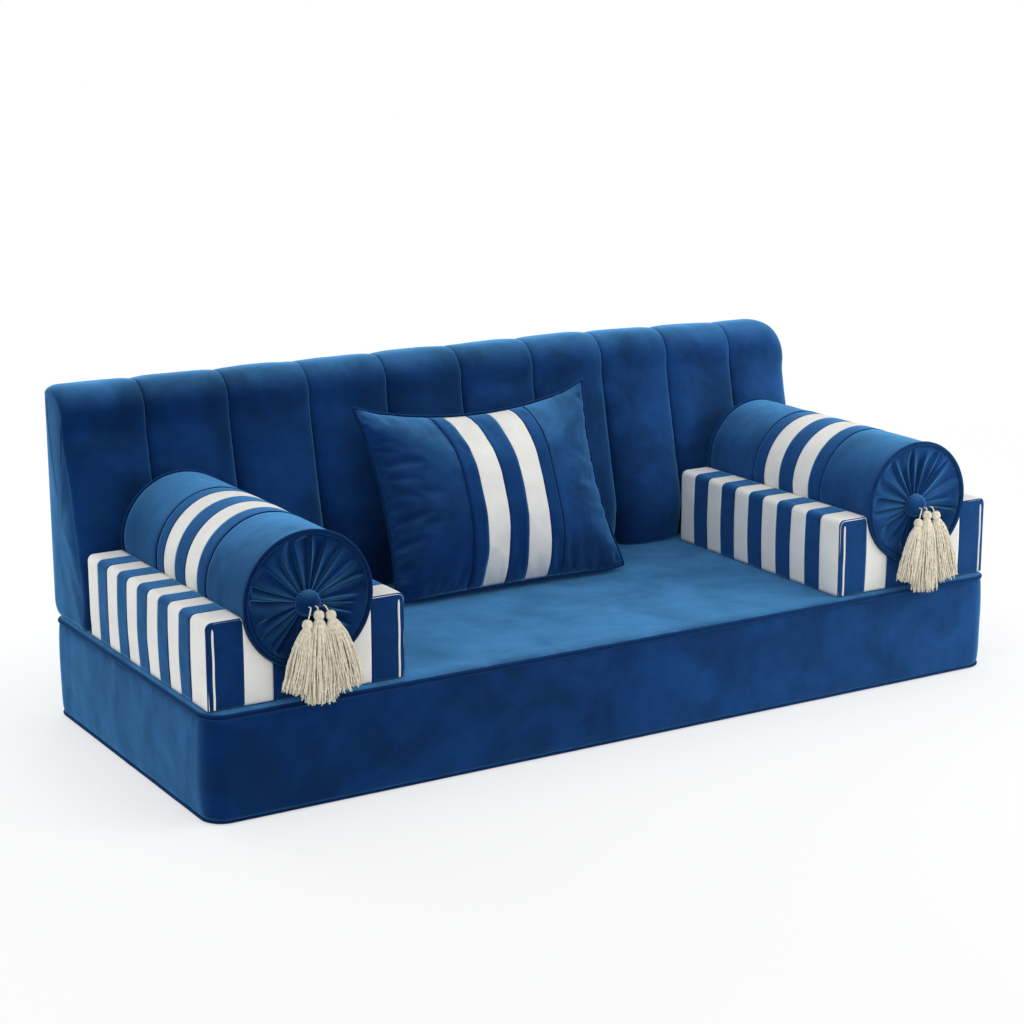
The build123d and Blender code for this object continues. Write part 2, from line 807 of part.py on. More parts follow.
lean_cos = cos(radians(pillow_lean))
lean_sin = sin(radians(pillow_lean))
flat_edge = pillow_outline(Plane.XY, pillow_piping_radius, 1, edge_bend)
tip_reach = -flat_edge.bounding_box().min.Y
pillow_z = cushion_bottom + pillow_piping_radius + tip_reach * lean_cos
belly_y = back_points(1, 0)[2][0]
shoulder_y = back_points(1, 0)[3][0]
front_slope = (shoulder_y - belly_y) / (shoulder_height - belly_height)


def back_front(z):
    """Y of the channels' middle line at one height of their straight stretch."""
    return belly_y + front_slope * (z - cushion_bottom - belly_height)


def pillow_place():
    """Y of the pillow's centre that brings its rear just in front of the channels."""
    places = []
    for inset, rise in zip(pillow_inset_shares, pillow_rise_shares):
        along = pillow_height / 2 - pillow_height * inset
        out = half_thickness * rise
        z = pillow_z + along * lean_cos - out * lean_sin
        places.append(back_front(z) - out * lean_cos - along * lean_sin)
    return min(places) - pillow_gap


pillow_y = pillow_place()
pillow_plane = Plane(
    origin=(pillow_shift, pillow_y, pillow_z),
    x_dir=(1, 0, 0),
    z_dir=(0, -lean_cos, lean_sin),
)


def pillow_half(facing, inset, thinner, start):
    """Sections of one half of the pillow's swelling, from its seam to its crown."""
    rows = zip(pillow_inset_shares, pillow_rise_shares, pillow_sag_shares, pillow_corner_shares)
    sections = []
    for inset_share, rise_share, sag_share, corner_share in rows:
        rise = start + (half_thickness - thinner - start) * rise_share
        sections.append(
            pillow_outline(
                pillow_plane.offset(facing * rise),
                inset + pillow_height * inset_share,
                sag_share,
                ear_radius + pillow_height * corner_share,
            )
        )
    return sections


with BuildPart() as pillow_fill:
    for facing in (1, -1):
        loft(pillow_half(facing, fill_edge, pillow_cover + ease, 0))
write(pillow_fill, "pillow_fill")


def pillow_shell(facing, extra):
    """One face of the pillow's cover, hollow over the fill, with any extra thickness."""
    with BuildPart() as piece:
        loft(pillow_half(facing, pillow_edge, -extra, ease / 2))
        loft(pillow_half(facing, fill_edge - ease, pillow_cover, 0), mode=Mode.SUBTRACT)
    return piece


def pillow_strips(shell, spans):
    """The parts of a cover that lie between pairs of places across the pillow."""
    with BuildPart() as piece:
        with Locations(pillow_plane):
            for low, high in spans:
                with Locations(((low + high) / 2, 0, 0)):
                    Box(high - low, 2 * pillow_height, 2 * pillow_thickness)
        add(shell.part, mode=Mode.INTERSECT)
    return piece


front_shell = pillow_shell(1, 0)
raised_shell = pillow_shell(1, pillow_seam_proud)
blue_end = pillow_blue_width / 2
white_end = blue_end + pillow_white_width
cord_low = white_end + pillow_edge_width
cord_high = cord_low + 2 * seam_cord_radius

white_strips = [(-white_end, -blue_end), (blue_end, white_end)]
blue_strips = [(-cord_low, -white_end), (-blue_end, blue_end), (white_end, cord_low)]
velvet_strips = [(-pillow_width, -cord_high), (cord_high, pillow_width)]
cord_strips = [(-cord_high, -cord_low), (cord_low, cord_high)]
write(pillow_strips(front_shell, white_strips), "pillow_white_bands")
write(pillow_strips(front_shell, blue_strips), "pillow_blue_bands")
write(pillow_strips(front_shell, velvet_strips), "pillow_front_velvet")
write(pillow_strips(raised_shell, cord_strips), "pillow_seam_piping")
write(pillow_shell(-1, 0), "pillow_back_panel")

edge_line = pillow_outline(pillow_plane, pillow_piping_radius, 1, edge_bend)
edge_wire = edge_line.faces()[0].outer_wire()
with BuildPart() as pillow_edge_piping:
    with BuildSketch(Plane(origin=edge_wire @ 0, z_dir=edge_wire % 0)):
        Circle(pillow_piping_radius)
    sweep(path=edge_wire)
write(pillow_edge_piping, "pillow_edge_piping")
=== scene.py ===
import json
from math import cos, pi, radians, sin, sqrt, tau

import bmesh
import bpy
import numpy as np
from mathutils import Matrix, Vector


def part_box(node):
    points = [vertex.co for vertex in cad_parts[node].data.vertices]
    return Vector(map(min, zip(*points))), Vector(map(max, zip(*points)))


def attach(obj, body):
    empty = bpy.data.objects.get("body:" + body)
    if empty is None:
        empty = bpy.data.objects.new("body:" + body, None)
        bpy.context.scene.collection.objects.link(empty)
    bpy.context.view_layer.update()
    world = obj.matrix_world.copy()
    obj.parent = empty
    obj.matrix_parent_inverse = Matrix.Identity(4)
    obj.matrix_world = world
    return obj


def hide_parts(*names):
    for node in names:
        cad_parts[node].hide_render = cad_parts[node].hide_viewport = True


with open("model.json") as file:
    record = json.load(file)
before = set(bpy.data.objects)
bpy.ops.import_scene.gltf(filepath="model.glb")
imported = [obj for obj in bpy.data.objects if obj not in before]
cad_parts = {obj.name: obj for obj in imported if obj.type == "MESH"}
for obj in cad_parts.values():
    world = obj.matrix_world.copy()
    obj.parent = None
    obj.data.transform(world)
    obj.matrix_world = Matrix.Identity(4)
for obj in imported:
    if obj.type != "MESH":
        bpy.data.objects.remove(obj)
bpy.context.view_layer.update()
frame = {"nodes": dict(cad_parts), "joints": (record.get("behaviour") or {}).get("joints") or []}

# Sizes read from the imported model.
PIPE_LOW, PIPE_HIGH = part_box("base_top_piping")
WELT_LOW, WELT_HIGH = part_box("base_bottom_piping")
STRIPE_LOW, STRIPE_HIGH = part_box("left_arm_white_stripes")
RING_LOW, RING_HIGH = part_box("left_bolster_piping")
SLEEVE_LOW, SLEEVE_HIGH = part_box("left_bolster_velvet_sleeves")
BUTTON_LOW, BUTTON_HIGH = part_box("left_bolster_buttons")
PILLOW_LOW, PILLOW_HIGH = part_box("pillow_edge_piping")

FACE_X, FACE_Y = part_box("base_side_band")[1][:2]
REAR = PIPE_HIGH[1]
PIPING = (PIPE_HIGH[2] - PIPE_LOW[2]) / 2
WELT = (WELT_HIGH[2] - WELT_LOW[2]) / 2
SEAM_Z = (PIPE_HIGH[2] + PIPE_LOW[2]) / 2
WELT_Z = (WELT_HIGH[2] + WELT_LOW[2]) / 2
SEAT_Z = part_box("base_top_panel")[1][2]
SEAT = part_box("back_channel_panel")[0][2]
CORNER = 0.040

BACK_HALF = 0.876
BACK_END, BACK_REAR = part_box("back_channel_panel")[1][:2]
BACK_H = 0.453

ARM_W = STRIPE_HIGH[0] - STRIPE_LOW[0]
ARM_X = -(STRIPE_HIGH[0] + STRIPE_LOW[0]) / 2
ARM_H = STRIPE_HIGH[2] - SEAT - 0.008    # the foam gives a little under its bolster
ARM_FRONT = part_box("left_arm_front_white_panels")[0][1]
ARM_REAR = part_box("left_arm_rear_panel")[1][1]

AXIS_Z = (RING_HIGH[2] + RING_LOW[2]) / 2
BOLSTER_Y = (RING_HIGH[1] + RING_LOW[1]) / 2
BOLSTER_R = (SLEEVE_HIGH[0] - SLEEVE_LOW[0]) / 2
RING_R = (RING_HIGH[2] - RING_LOW[2]) / 2 - PIPING
RING_PLACE = (RING_HIGH[1] - RING_LOW[1]) / 2 - PIPING
BUTTON_Z = (BUTTON_HIGH[2] + BUTTON_LOW[2]) / 2
BUTTON_R = (BUTTON_HIGH[2] - BUTTON_LOW[2]) / 2
BUTTON_CREST = BOLSTER_Y - BUTTON_LOW[1]


# Helpers

def noise3(points, size, seed):
    """Smooth value noise from -1 to 1 at each point, with cells of one size."""
    q = np.asarray(points, float) / size + 512.0
    cell = np.floor(q).astype(np.int64)
    f = q - cell
    f = f * f * f * (f * (f * 6 - 15) + 10)
    total = np.zeros(len(q))
    for corner in np.ndindex(2, 2, 2):
        x, y, z = ((cell + corner) * (73856093, 19349663, 83492791)).T
        h = x ^ y ^ z ^ (seed + 11) * 265443
        h = ((h ^ (h >> 13)) * 1274126177) & 0x7FFFFFFF
        h = ((h ^ (h >> 15)) * 73244475) & 0x7FFFFFFF
        value = ((h >> 7) & 0xFFFF) / 32767.5 - 1
        total += np.where(corner, f, 1 - f).prod(1) * value
    return total


def fbm(points, size, seed, octaves=3):
    """A few sizes of noise added up."""
    return sum(noise3(points, size / 2**k, seed + 7 * k) / 2**k for k in range(octaves))


def clamp(t):
    return np.clip(t, 0, 1)


def smooth(t):
    """Rises gently from 0 at 0 to 1 at 1."""
    t = clamp(t)
    return t * t * (3 - 2 * t)


def grid_faces(nu, nv, wrap_u=False, wrap_v=False):
    """Quads of a grid whose points are in order u, then v."""
    along_u = np.arange(nu if wrap_u else nu - 1)
    along_v = np.arange(nv if wrap_v else nv - 1)
    i, j = np.meshgrid(along_u, along_v, indexing="ij")
    next_i = (i + 1) % nu
    next_j = (j + 1) % nv
    quads = [i * nv + j, next_i * nv + j, next_i * nv + next_j, i * nv + next_j]
    return np.stack(quads, -1).reshape(-1, 4)


def outward(points, quads, centre):
    """The quads, turned so that most of them face away from a centre."""
    a, b, c = (points[quads[:, k]] for k in (0, 1, 2))
    normal = np.cross(b - a, c - a)
    if (normal * (a - np.asarray(centre))).sum() < 0:
        quads = quads[:, ::-1]
    return quads


def surface(grid, centre, wrap_u=False, wrap_v=False):
    """(points, quads) of a grid of points, facing away from a centre."""
    nu, nv = grid.shape[:2]
    points = grid.reshape(-1, 3)
    return points, outward(points, grid_faces(nu, nv, wrap_u, wrap_v), centre)


def circle(count):
    """Angles once round, evenly spaced."""
    return np.linspace(0, tau, count, endpoint=False)


def unit(v):
    """Vectors of the same direction, one metre long."""
    return v / np.linalg.norm(v, axis=-1, keepdims=True)


def grid_of(x, y, z):
    """A grid of points from its coordinates, the smaller ones repeated along it."""
    return np.stack(np.broadcast_arrays(x, y, z), -1).astype(float)


def numbered(quads):
    """The points that some quads use, and the quads by those points' own numbers."""
    used, numbers = np.unique(quads, return_inverse=True)
    return used, numbers.reshape(quads.shape)


def new_object(name, data):
    obj = bpy.data.objects.new(name, data)
    bpy.context.scene.collection.objects.link(obj)
    return obj


def build(name, parts, body, look, *replaces, padded=None, weld=0.0, thickness=0.0):
    """One object from several (points, quads) pairs, riding on a body in place of some nodes."""
    material, slot = look
    starts = np.cumsum([0] + [len(part_points) for part_points, _ in parts])
    points = np.concatenate([part_points for part_points, _ in parts])
    quads = np.concatenate([part_quads + start for (_, part_quads), start in zip(parts, starts)])
    used, quads = numbered(quads)
    mesh = bpy.data.meshes.new(name)
    mesh.from_pydata(points[used].tolist(), [], quads.tolist())
    mesh.validate()
    if weld:
        bm = bmesh.new()
        bm.from_mesh(mesh)
        bmesh.ops.remove_doubles(bm, verts=bm.verts, dist=weld)
        bmesh.ops.dissolve_degenerate(bm, dist=weld / 10, edges=bm.edges)
        bm.to_mesh(mesh)
        bm.free()
    mesh.polygons.foreach_set("use_smooth", np.ones(len(mesh.polygons), bool))
    mesh.materials.append(material)
    obj = new_object(name, mesh)
    if thickness:
        solid = obj.modifiers.new("thickness", "SOLIDIFY")
        solid.thickness = thickness
        solid.offset = -1
    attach(obj, body)
    if replaces:
        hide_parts(*replaces)
    return obj


def end_cap(first, sides):
    """Quads that close a ring of an even number of points."""
    steps = range(1, sides - 2, 2)
    return np.array([(first, first + i, first + i + 1, first + i + 2) for i in steps])


def tube(path, radius, sides=10, closed=False, plies=0, twist=0.0, ply_size=0.0):
    """(points, quads) of a round tube along a path, its radius one value or one for each point."""
    path = np.asarray(path, float)
    n = len(path)
    radius = np.broadcast_to(np.asarray(radius, float), (n,))
    along = np.roll(path, -1, 0) - np.roll(path, 1, 0) if closed else np.gradient(path, axis=0)
    tangent = unit(along)
    side = np.zeros((n, 3))
    first = np.array([0.0, 0, 1]) if abs(tangent[0][2]) < 0.9 else np.array([0.0, 1, 0])
    v = np.cross(tangent[0], first)
    for k in range(n):
        v = unit(v - tangent[k] * v.dot(tangent[k]))
        side[k] = v
    up = np.cross(tangent, side)
    turn = circle(sides)
    reach = radius[:, None] * np.ones((1, sides))
    if plies:
        phase = plies * (turn[None, :] - twist * np.arange(n)[:, None])
        reach = reach * (1 + ply_size * np.cos(phase))
    around = np.cos(turn)[None, :, None] * side[:, None] + np.sin(turn)[None, :, None] * up[:, None]
    points = (path[:, None] + reach[:, :, None] * around).reshape(-1, 3)
    quads = grid_faces(n, sides, wrap_u=closed, wrap_v=True)
    if not closed:
        start_cap = end_cap(0, sides)
        finish_cap = end_cap((n - 1) * sides, sides)[:, ::-1]
        quads = np.concatenate([quads, start_cap, finish_cap])
    return points, quads


def resample(points, count, rounds=0):
    """Evenly spaced points along an open line, its inner corners softened a few times."""
    points = np.asarray(points, float)
    gaps = np.linalg.norm(np.diff(points, axis=0), axis=1)
    run = np.concatenate([[0], np.cumsum(gaps)])
    places = np.linspace(0, run[-1], count)
    even = np.column_stack([np.interp(places, run, points[:, k]) for k in range(points.shape[1])])
    for _ in range(rounds):
        even[1:-1] = 0.25 * even[:-2] + 0.5 * even[1:-1] + 0.25 * even[2:]
    return even


def face_inside(boundary, rings, offset, power=2.0, seed=0, rough=0.0):
    """Rings of points that fill a closed boundary, swelling by offset at the middle."""
    boundary = np.asarray(boundary, float)
    offset = np.asarray(offset, float)
    centre = boundary.mean(0)
    share = np.linspace(1, 0.004, rings)[:, None, None]
    points = centre + (boundary[None] - centre) * share + (1 - share**power) * offset
    if rough:
        direction = offset / np.linalg.norm(offset)
        waves = fbm(points.reshape(-1, 3), 0.09, seed, 2).reshape(points.shape[:2] + (1,))
        points = points + rough * waves * (1 - share**4) * direction
    return points


# Materials

class Look:
    """The node tree of a material or of the world, built up by short calls."""

    def __init__(self, owner):
        owner.use_nodes = True
        self.owner = owner
        self.tree = owner.node_tree
        self.shader = self.tree.nodes.get("Principled BSDF")
        if self.shader:
            self.coords = self.node("TexCoord", {})

    def fill(self, node, inputs):
        """Sets a node's inputs, and links those whose value is another node's output."""
        for key, value in inputs.items():
            if isinstance(value, bpy.types.NodeSocket):
                self.tree.links.new(value, node.inputs[key])
            else:
                node.inputs[key].default_value = value

    def node(self, kind, inputs, **settings):
        node = self.tree.nodes.new("ShaderNode" + kind)
        for key, value in settings.items():
            setattr(node, key, value)
        self.fill(node, inputs)
        return node

    def noise(self, scale, detail=3.0, rough=0.55, distortion=0.0):
        place = self.coords.outputs["Object"]
        inputs = {"Scale": scale, "Detail": detail, "Roughness": rough, "Distortion": distortion}
        return self.node("TexNoise", {"Vector": place, **inputs}).outputs["Fac"]

    def ramp(self, fac, *stops):
        """Colours along a value, from (place, colour) pairs."""
        node = self.node("ValToRGB", {"Fac": fac})
        elements = node.color_ramp.elements
        for k in (0, -1):
            elements[k].position = stops[k][0]
            elements[k].color = (*stops[k][1], 1)
        for place, colour in stops[1:-1]:
            elements.new(place).color = (*colour, 1)
        return node.outputs["Color"]

    def mix(self, a, b, fac=1.0, mode="MULTIPLY"):
        """Colour a times b or, in mode MIX, a where the factor is 0 and b where it is 1."""
        return self.node("Mix", {0: fac, 6: a, 7: b}, data_type="RGBA", blend_type=mode).outputs[2]

    def math(self, operation, a, b, clamp=False):
        return self.node("Math", {0: a, 1: b}, operation=operation, use_clamp=clamp).outputs[0]

    def axis(self, kind, axis):
        """One axis of the object's places or of its normals."""
        return self.node("SeparateXYZ", {0: self.coords.outputs[kind]}).outputs[axis]

    def bump(self, height, strength, distance, **normal):
        inputs = {"Height": height, "Strength": strength, "Distance": distance, **normal}
        return self.node("Bump", inputs).outputs["Normal"]

    def surface(self, colour, normal, **values):
        """The finished material, its shader's values named with underscores for spaces."""
        named = {key.replace("_", " "): value for key, value in values.items()}
        self.fill(self.shader, {"Base Color": colour, "Normal": normal, **named})
        return self.owner


def velvet(name, painted_light_across, top, spread, sheen, cloud=7.0, lie=0.5):
    """Short-piled velvet, lightened towards the right by painted light and on surfaces that face up by
    painted light and sheen, with clouds where the nap lies another way.
    """
    look = Look(bpy.data.materials.new(name))
    bright = (1.0,) * 3
    # Painted light: the colour lightens from the left end to the right end, through the three colours
    # given.
    across = {"Value": look.axis("Object", "X"), "From Min": -FACE_X, "From Max": FACE_X}
    across = look.node("MapRange", across).outputs["Result"]
    # Painted light and sheen: where a surface faces up, the colour turns towards the top colour.
    upward = look.math("MAXIMUM", look.axis("Normal", "Z"), 0.0)
    pile_and_painted_light = look.ramp(across, *zip((0.06, 0.50, 0.94), painted_light_across))
    pile_and_painted_light = look.mix(pile_and_painted_light, (*top, 1), look.math("POWER", upward, 2.4, True), "MIX")
    clouds = look.noise(cloud, 3.0, 0.55, 0.6)
    pile_and_painted_light = look.mix(pile_and_painted_light, look.ramp(clouds, (0.36, (1 - spread,) * 3), (0.66, bright)))
    patches = look.noise(cloud * 6, 4.0, 0.60, 0.3)
    pile_and_painted_light = look.mix(pile_and_painted_light, look.ramp(patches, (0.35, (0.86,) * 3), (0.62, bright)))
    broad = look.bump(look.noise(cloud * 1.3, 1.5, 0.45, 0.3), lie, 0.012)
    soft = look.bump(look.noise(45.0, 2.0, 0.5), 0.14, 0.003, Normal=broad)
    fibres = look.bump(look.noise(1400.0, 2.0, 0.6), 0.35, 0.0006, Normal=soft)
    return look.surface(
        pile_and_painted_light, fibres, Roughness=0.85, Specular_IOR_Level=0.03,
        Sheen_Weight=sheen, Sheen_Roughness=0.42, Sheen_Tint=(0.15, 0.52, 1.0, 1),
    )


def woven(name, low, high, thread=1500.0):
    """Plain woven cotton."""
    look = Look(bpy.data.materials.new(name))
    colour = look.ramp(look.noise(18.0, 4.0, 0.6), (0.3, low), (0.7, high))
    wave = {"Vector": look.coords.outputs["Object"], "Scale": thread}
    wave.update({"Distortion": 1.2, "Detail": 1.0, "Detail Scale": 0.3})
    x, y, z = (look.node("TexWave", wave, bands_direction=axis).outputs["Fac"] for axis in "XYZ")
    threads = look.math("ADD", look.math("ADD", x, y), z)
    soft = look.bump(look.noise(60.0, 3.0, 0.5), 0.15, 0.003)
    return look.surface(
        colour, look.bump(threads, 0.25, 0.0004, Normal=soft), Roughness=0.9,
        Specular_IOR_Level=0.2, Sheen_Weight=0.12, Sheen_Roughness=0.5,
    )


def yarn(name):
    """Cream cotton yarn, its strands unevenly bleached."""
    look = Look(bpy.data.materials.new(name))
    stops = ((0.3, (0.64, 0.57, 0.43)), (0.55, (0.80, 0.74, 0.60)), (0.75, (0.89, 0.84, 0.72)))
    colour = look.ramp(look.noise(160.0, 4.0, 0.6), *stops)
    fibres = look.bump(look.noise(2600.0, 2.0, 0.6), 0.5, 0.0005)
    return look.surface(colour, fibres, Roughness=0.95, Specular_IOR_Level=0.1, Sheen_Weight=0.2)


def plain(name, low, high, metallic, rough, scale=300.0):
    """Moulded nylon or cast metal, faintly uneven."""
    look = Look(bpy.data.materials.new(name))
    colour = look.ramp(look.noise(scale), (0.3, low), (0.7, high))
    grain = look.bump(look.noise(scale * 6), 0.1, 0.0003)
    return look.surface(colour, grain, Metallic=metallic, Roughness=rough)


# Velvet colours at the left end, the middle and the right end: lighter towards the right by painted light.
# Each top colour is painted light and sheen, mixed in where a surface faces up.
PILE_PAINTED_LIGHT_ACROSS = ((0.0014, 0.024, 0.118), (0.0054, 0.038, 0.160), (0.0118, 0.062, 0.222))
PILE_PAINTED_TOP_LIGHT = (0.052, 0.190, 0.425)
BAND_PAINTED_LIGHT_ACROSS = ((0.0030, 0.027, 0.122), (0.0050, 0.036, 0.150), (0.0100, 0.054, 0.195))
BAND_PAINTED_TOP_LIGHT = (0.020, 0.090, 0.270)
# The cord colours are a darker navy than the velvet, partly their own colour and partly painted shade.
CORD_PAINTED_LIGHT_ACROSS = ((0.0010, 0.013, 0.070), (0.0030, 0.022, 0.100), (0.0070, 0.038, 0.140))
CORD_PAINTED_TOP_LIGHT = (0.006, 0.034, 0.130)

# Each of these is a material with the name of its slot.
VELVET = (velvet("velvet_blue", PILE_PAINTED_LIGHT_ACROSS, PILE_PAINTED_TOP_LIGHT, 0.46, 1.0), "blue_velvet")
STRIPE_BLUE = (velvet("stripe_blue", BAND_PAINTED_LIGHT_ACROSS, BAND_PAINTED_TOP_LIGHT, 0.20, 0.9, 14.0, 0.2), "blue_velvet")
CORD_BLUE = (velvet("cord_blue", CORD_PAINTED_LIGHT_ACROSS, CORD_PAINTED_TOP_LIGHT, 0.2, 0.4, 30.0, 0.1), "blue_velvet")
WHITE = (woven("cotton_white", (0.76, 0.75, 0.71), (0.83, 0.82, 0.78)), "white_cotton")
LINING = (woven("lining_blue", (0.006, 0.022, 0.085), (0.010, 0.034, 0.120), 900.0), "lining_cloth")
YARN = (yarn("yarn_cream"), "cream_yarn")
NYLON = (plain("zip_nylon", (0.004, 0.012, 0.05), (0.010, 0.025, 0.09), 0.0, 0.45), "zip_nylon")
TAPE = (LINING[0], "zip_nylon")

# The sliders keep their own shape and slot, and take this material alone.
METAL = plain("zip_metal", (0.45, 0.45, 0.46), (0.62, 0.62, 0.63), 1.0, 0.32)


# Base cushion

def ring_points(half_x, half_y, corner, nx=230, ny=96, nc=10):
    """Rounded rectangle, anticlockwise from its front left, with its outward normals."""
    points = []
    normals = []
    corners = (
        (half_x - corner, -half_y + corner, -90),
        (half_x - corner, half_y - corner, 0),
        (-half_x + corner, half_y - corner, 90),
        (-half_x + corner, -half_y + corner, 180),
    )
    previous = corners[3]
    for count, (cx, cy, start) in zip((nx, ny, nx, ny), corners):
        normal = np.array([cos(radians(start)), sin(radians(start))])
        a = np.array(previous[:2]) + corner * normal
        b = np.array([cx, cy]) + corner * normal
        for t in np.arange(count) / count:
            points.append(a + (b - a) * t)
            normals.append(normal)
        for t in np.arange(nc) / nc:
            angle = radians(start + 90 * t)
            n = np.array([cos(angle), sin(angle)])
            points.append(np.array([cx, cy]) + corner * n)
            normals.append(n)
        previous = (cx, cy)
    return np.array(points), np.array(normals)


BAND_BULGE = 0.0050                      # how far the band swells between its cords
SEAT_HOLLOW = 0.0028
SEAT_WAVES = 0.0011
outline, outline_normal = ring_points(FACE_X, FACE_Y, CORNER)
n_ring = len(outline)


def base_band():
    """Side of the boxed cover, from the lower cord to the upper one."""
    low = WELT_Z + 0.002
    high = SEAM_Z - 0.001
    share = np.concatenate([np.linspace(0, 0.05, 4), np.linspace(0.08, 0.92, 26), np.linspace(0.95, 1, 4)])
    heights = low + (high - low) * share
    bulge = BAND_BULGE * np.sin(pi * clamp(share)) ** 0.4
    bulge -= 0.0032 * np.exp(-(high - heights) / 0.004) + 0.0022 * np.exp(-(heights - low) / 0.004)
    side = outline[:, None] + outline_normal[:, None] * bulge[None, :, None]
    grid = grid_of(side[:, :, 0], side[:, :, 1], heights)
    flat = grid.reshape(-1, 3)
    z = flat[:, 2]
    calm = clamp(np.minimum(z - low, high - z) / 0.02)
    push = 0.0016 * fbm(flat, 0.16, 3) * calm
    near = np.exp(-(high - z) / 0.022) + 0.7 * np.exp(-(z - low) / 0.018)
    push += 0.0007 * noise3(flat * (1, 1, 0.25), 0.016, 5) * near * clamp((high - z) / 0.004)
    flat[:, :2] += np.repeat(outline_normal, len(heights), 0) * push[:, None]
    return surface(grid, (0, 0, 0.1), wrap_u=True)


def base_top():
    """Crowned top of the cover, with the seat's slight hollow."""
    edge = (0, 0.0015, 0.003, 0.0045, 0.0065, 0.009, 0.012, 0.016, 0.021, 0.027, 0.034, 0.042)
    insets = np.concatenate([edge, np.linspace(0.050, FACE_Y, 44)])
    low = SEAM_Z + PIPING
    rings = [ring_points(FACE_X - i, FACE_Y - i, max(CORNER - i, 0))[0] for i in insets]
    across, along = np.moveaxis(np.array(rings), 2, 0)
    heights = low + (SEAT_Z - 0.0002 - low) * (1 - np.exp(-insets / 0.0060))
    grid = grid_of(across, along, heights[:, None])
    flat = grid.reshape(-1, 3)
    inset = np.repeat(insets, n_ring)
    hollow = np.exp(-((flat[:, 0] / 0.36) ** 4)) * np.exp(-(((flat[:, 1] + 0.10) / 0.22) ** 4))
    calm = smooth((inset - 0.004) / 0.05)
    flat[:, 2] -= SEAT_HOLLOW * hollow * calm
    flat[:, 2] -= SEAT_WAVES * (0.8 + fbm(flat, 0.13, 21)) * calm
    near = np.exp(-inset / 0.018) * clamp(inset / 0.005)
    flat[:, 2] -= 0.0005 * (1 + noise3(flat, 0.018, 23)) * near
    return surface(grid, (0, 0, -1), wrap_v=True)


SLOT_HALF_X = 0.75
SLOT_HALF_Z = 0.014


def open_slot(points, quads, centre_z):
    """The quads without those of the zip's slot in a rear panel."""
    x, y, z = points[quads].mean(1).T
    slot = (abs(x) < SLOT_HALF_X) & (abs(z - centre_z) < SLOT_HALF_Z) & (y > 0.3)
    return quads[~slot]


def edge_cord(z, radius, seed):
    path = grid_of(outline[:, 0], outline[:, 1], z)
    path[:, 2] += 0.0003 * noise3(path, 0.05, seed)
    size = radius * (1 + 0.05 * noise3(path, 0.012, seed + 1))
    return tube(path, size, 10, closed=True)


BASE_ZIP_Z = (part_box("base_zip")[0][2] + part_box("base_zip")[1][2]) / 2
band_points, band_quads = base_band()
band = (band_points, open_slot(band_points, band_quads, BASE_ZIP_Z))
build(
    "base_cushion_sides", [band], "base", VELVET, "base_side_band", "base_foam_core",
    padded=0.9, thickness=0.002,
)
build(
    "base_cushion_top", [base_top()], "base", VELVET, "base_top_panel",
    padded=0.9, weld=0.0002, thickness=0.002,
)
# The upper cord's dark colour is partly painted shade along the base's top edge.
build("base_cord_upper", [edge_cord(SEAM_Z, PIPING, 31)], "base", CORD_BLUE, "base_top_piping")
build("base_cord_lower", [edge_cord(WELT_Z, WELT, 33)], "base", CORD_BLUE, "base_bottom_piping")

under, _ = ring_points(FACE_X - WELT, FACE_Y - WELT, CORNER - WELT, 60, 24, 8)
under = face_inside(grid_of(under[:, 0], under[:, 1], 0), 14, (0, 0, 0.0015))
under = surface(under, (0, 0, 1), wrap_v=True)
build("base_cushion_underside", [under], "base", LINING, "base_bottom_panel", thickness=0.002)


# Back cushion

SEAM_DEPTH = (0.113, 0.130, 0.076)       # rear face to a seam: at the seat, the belly and the shoulder
LOBE_DEPTH = (0.166, 0.176, 0.090)       # the same, to the middle of a channel
SEAM_DROP = 0.005
BELLY_Z = 0.090
SHOULDER_Z = 0.376
LEFT_ROLL = 0.025
RIGHT_ROLL = 0.080
LEFT_DROP = 0.6                          # of a roll's depth, lost at the top of an end
RIGHT_DROP = 0.75
DIP_FROM = 0.30                          # towards the right the back settles from here on
DIP_IN = 0.030
DIP_DOWN = 0.050
CHANNELS = 10
PROFILE_POINTS = 74
REAR_CORNER = 0.026
BEND_Y = REAR - REAR_CORNER               # the rounded lower corner starts and ends here
BEND_Z = SEAT + REAR_CORNER


def three_point_arc(a, b, c, count):
    """Points on the circle through three points, from the first to the last."""
    (ax, ay), (bx, by), (cx, cy) = a, b, c
    double = 2 * (ax * (by - cy) + bx * (cy - ay) + cx * (ay - by))
    a2 = ax**2 + ay**2
    b2 = bx**2 + by**2
    c2 = cx**2 + cy**2
    ux = (a2 * (by - cy) + b2 * (cy - ay) + c2 * (ay - by)) / double
    uy = (a2 * (cx - bx) + b2 * (ax - cx) + c2 * (bx - ax)) / double
    angles = np.unwrap([np.arctan2(p[1] - uy, p[0] - ux) for p in (a, b, c)])
    radius = np.hypot(ax - ux, ay - uy)
    t = np.linspace(angles[0], angles[2], count)
    return np.column_stack([ux + radius * np.cos(t), uy + radius * np.sin(t)])


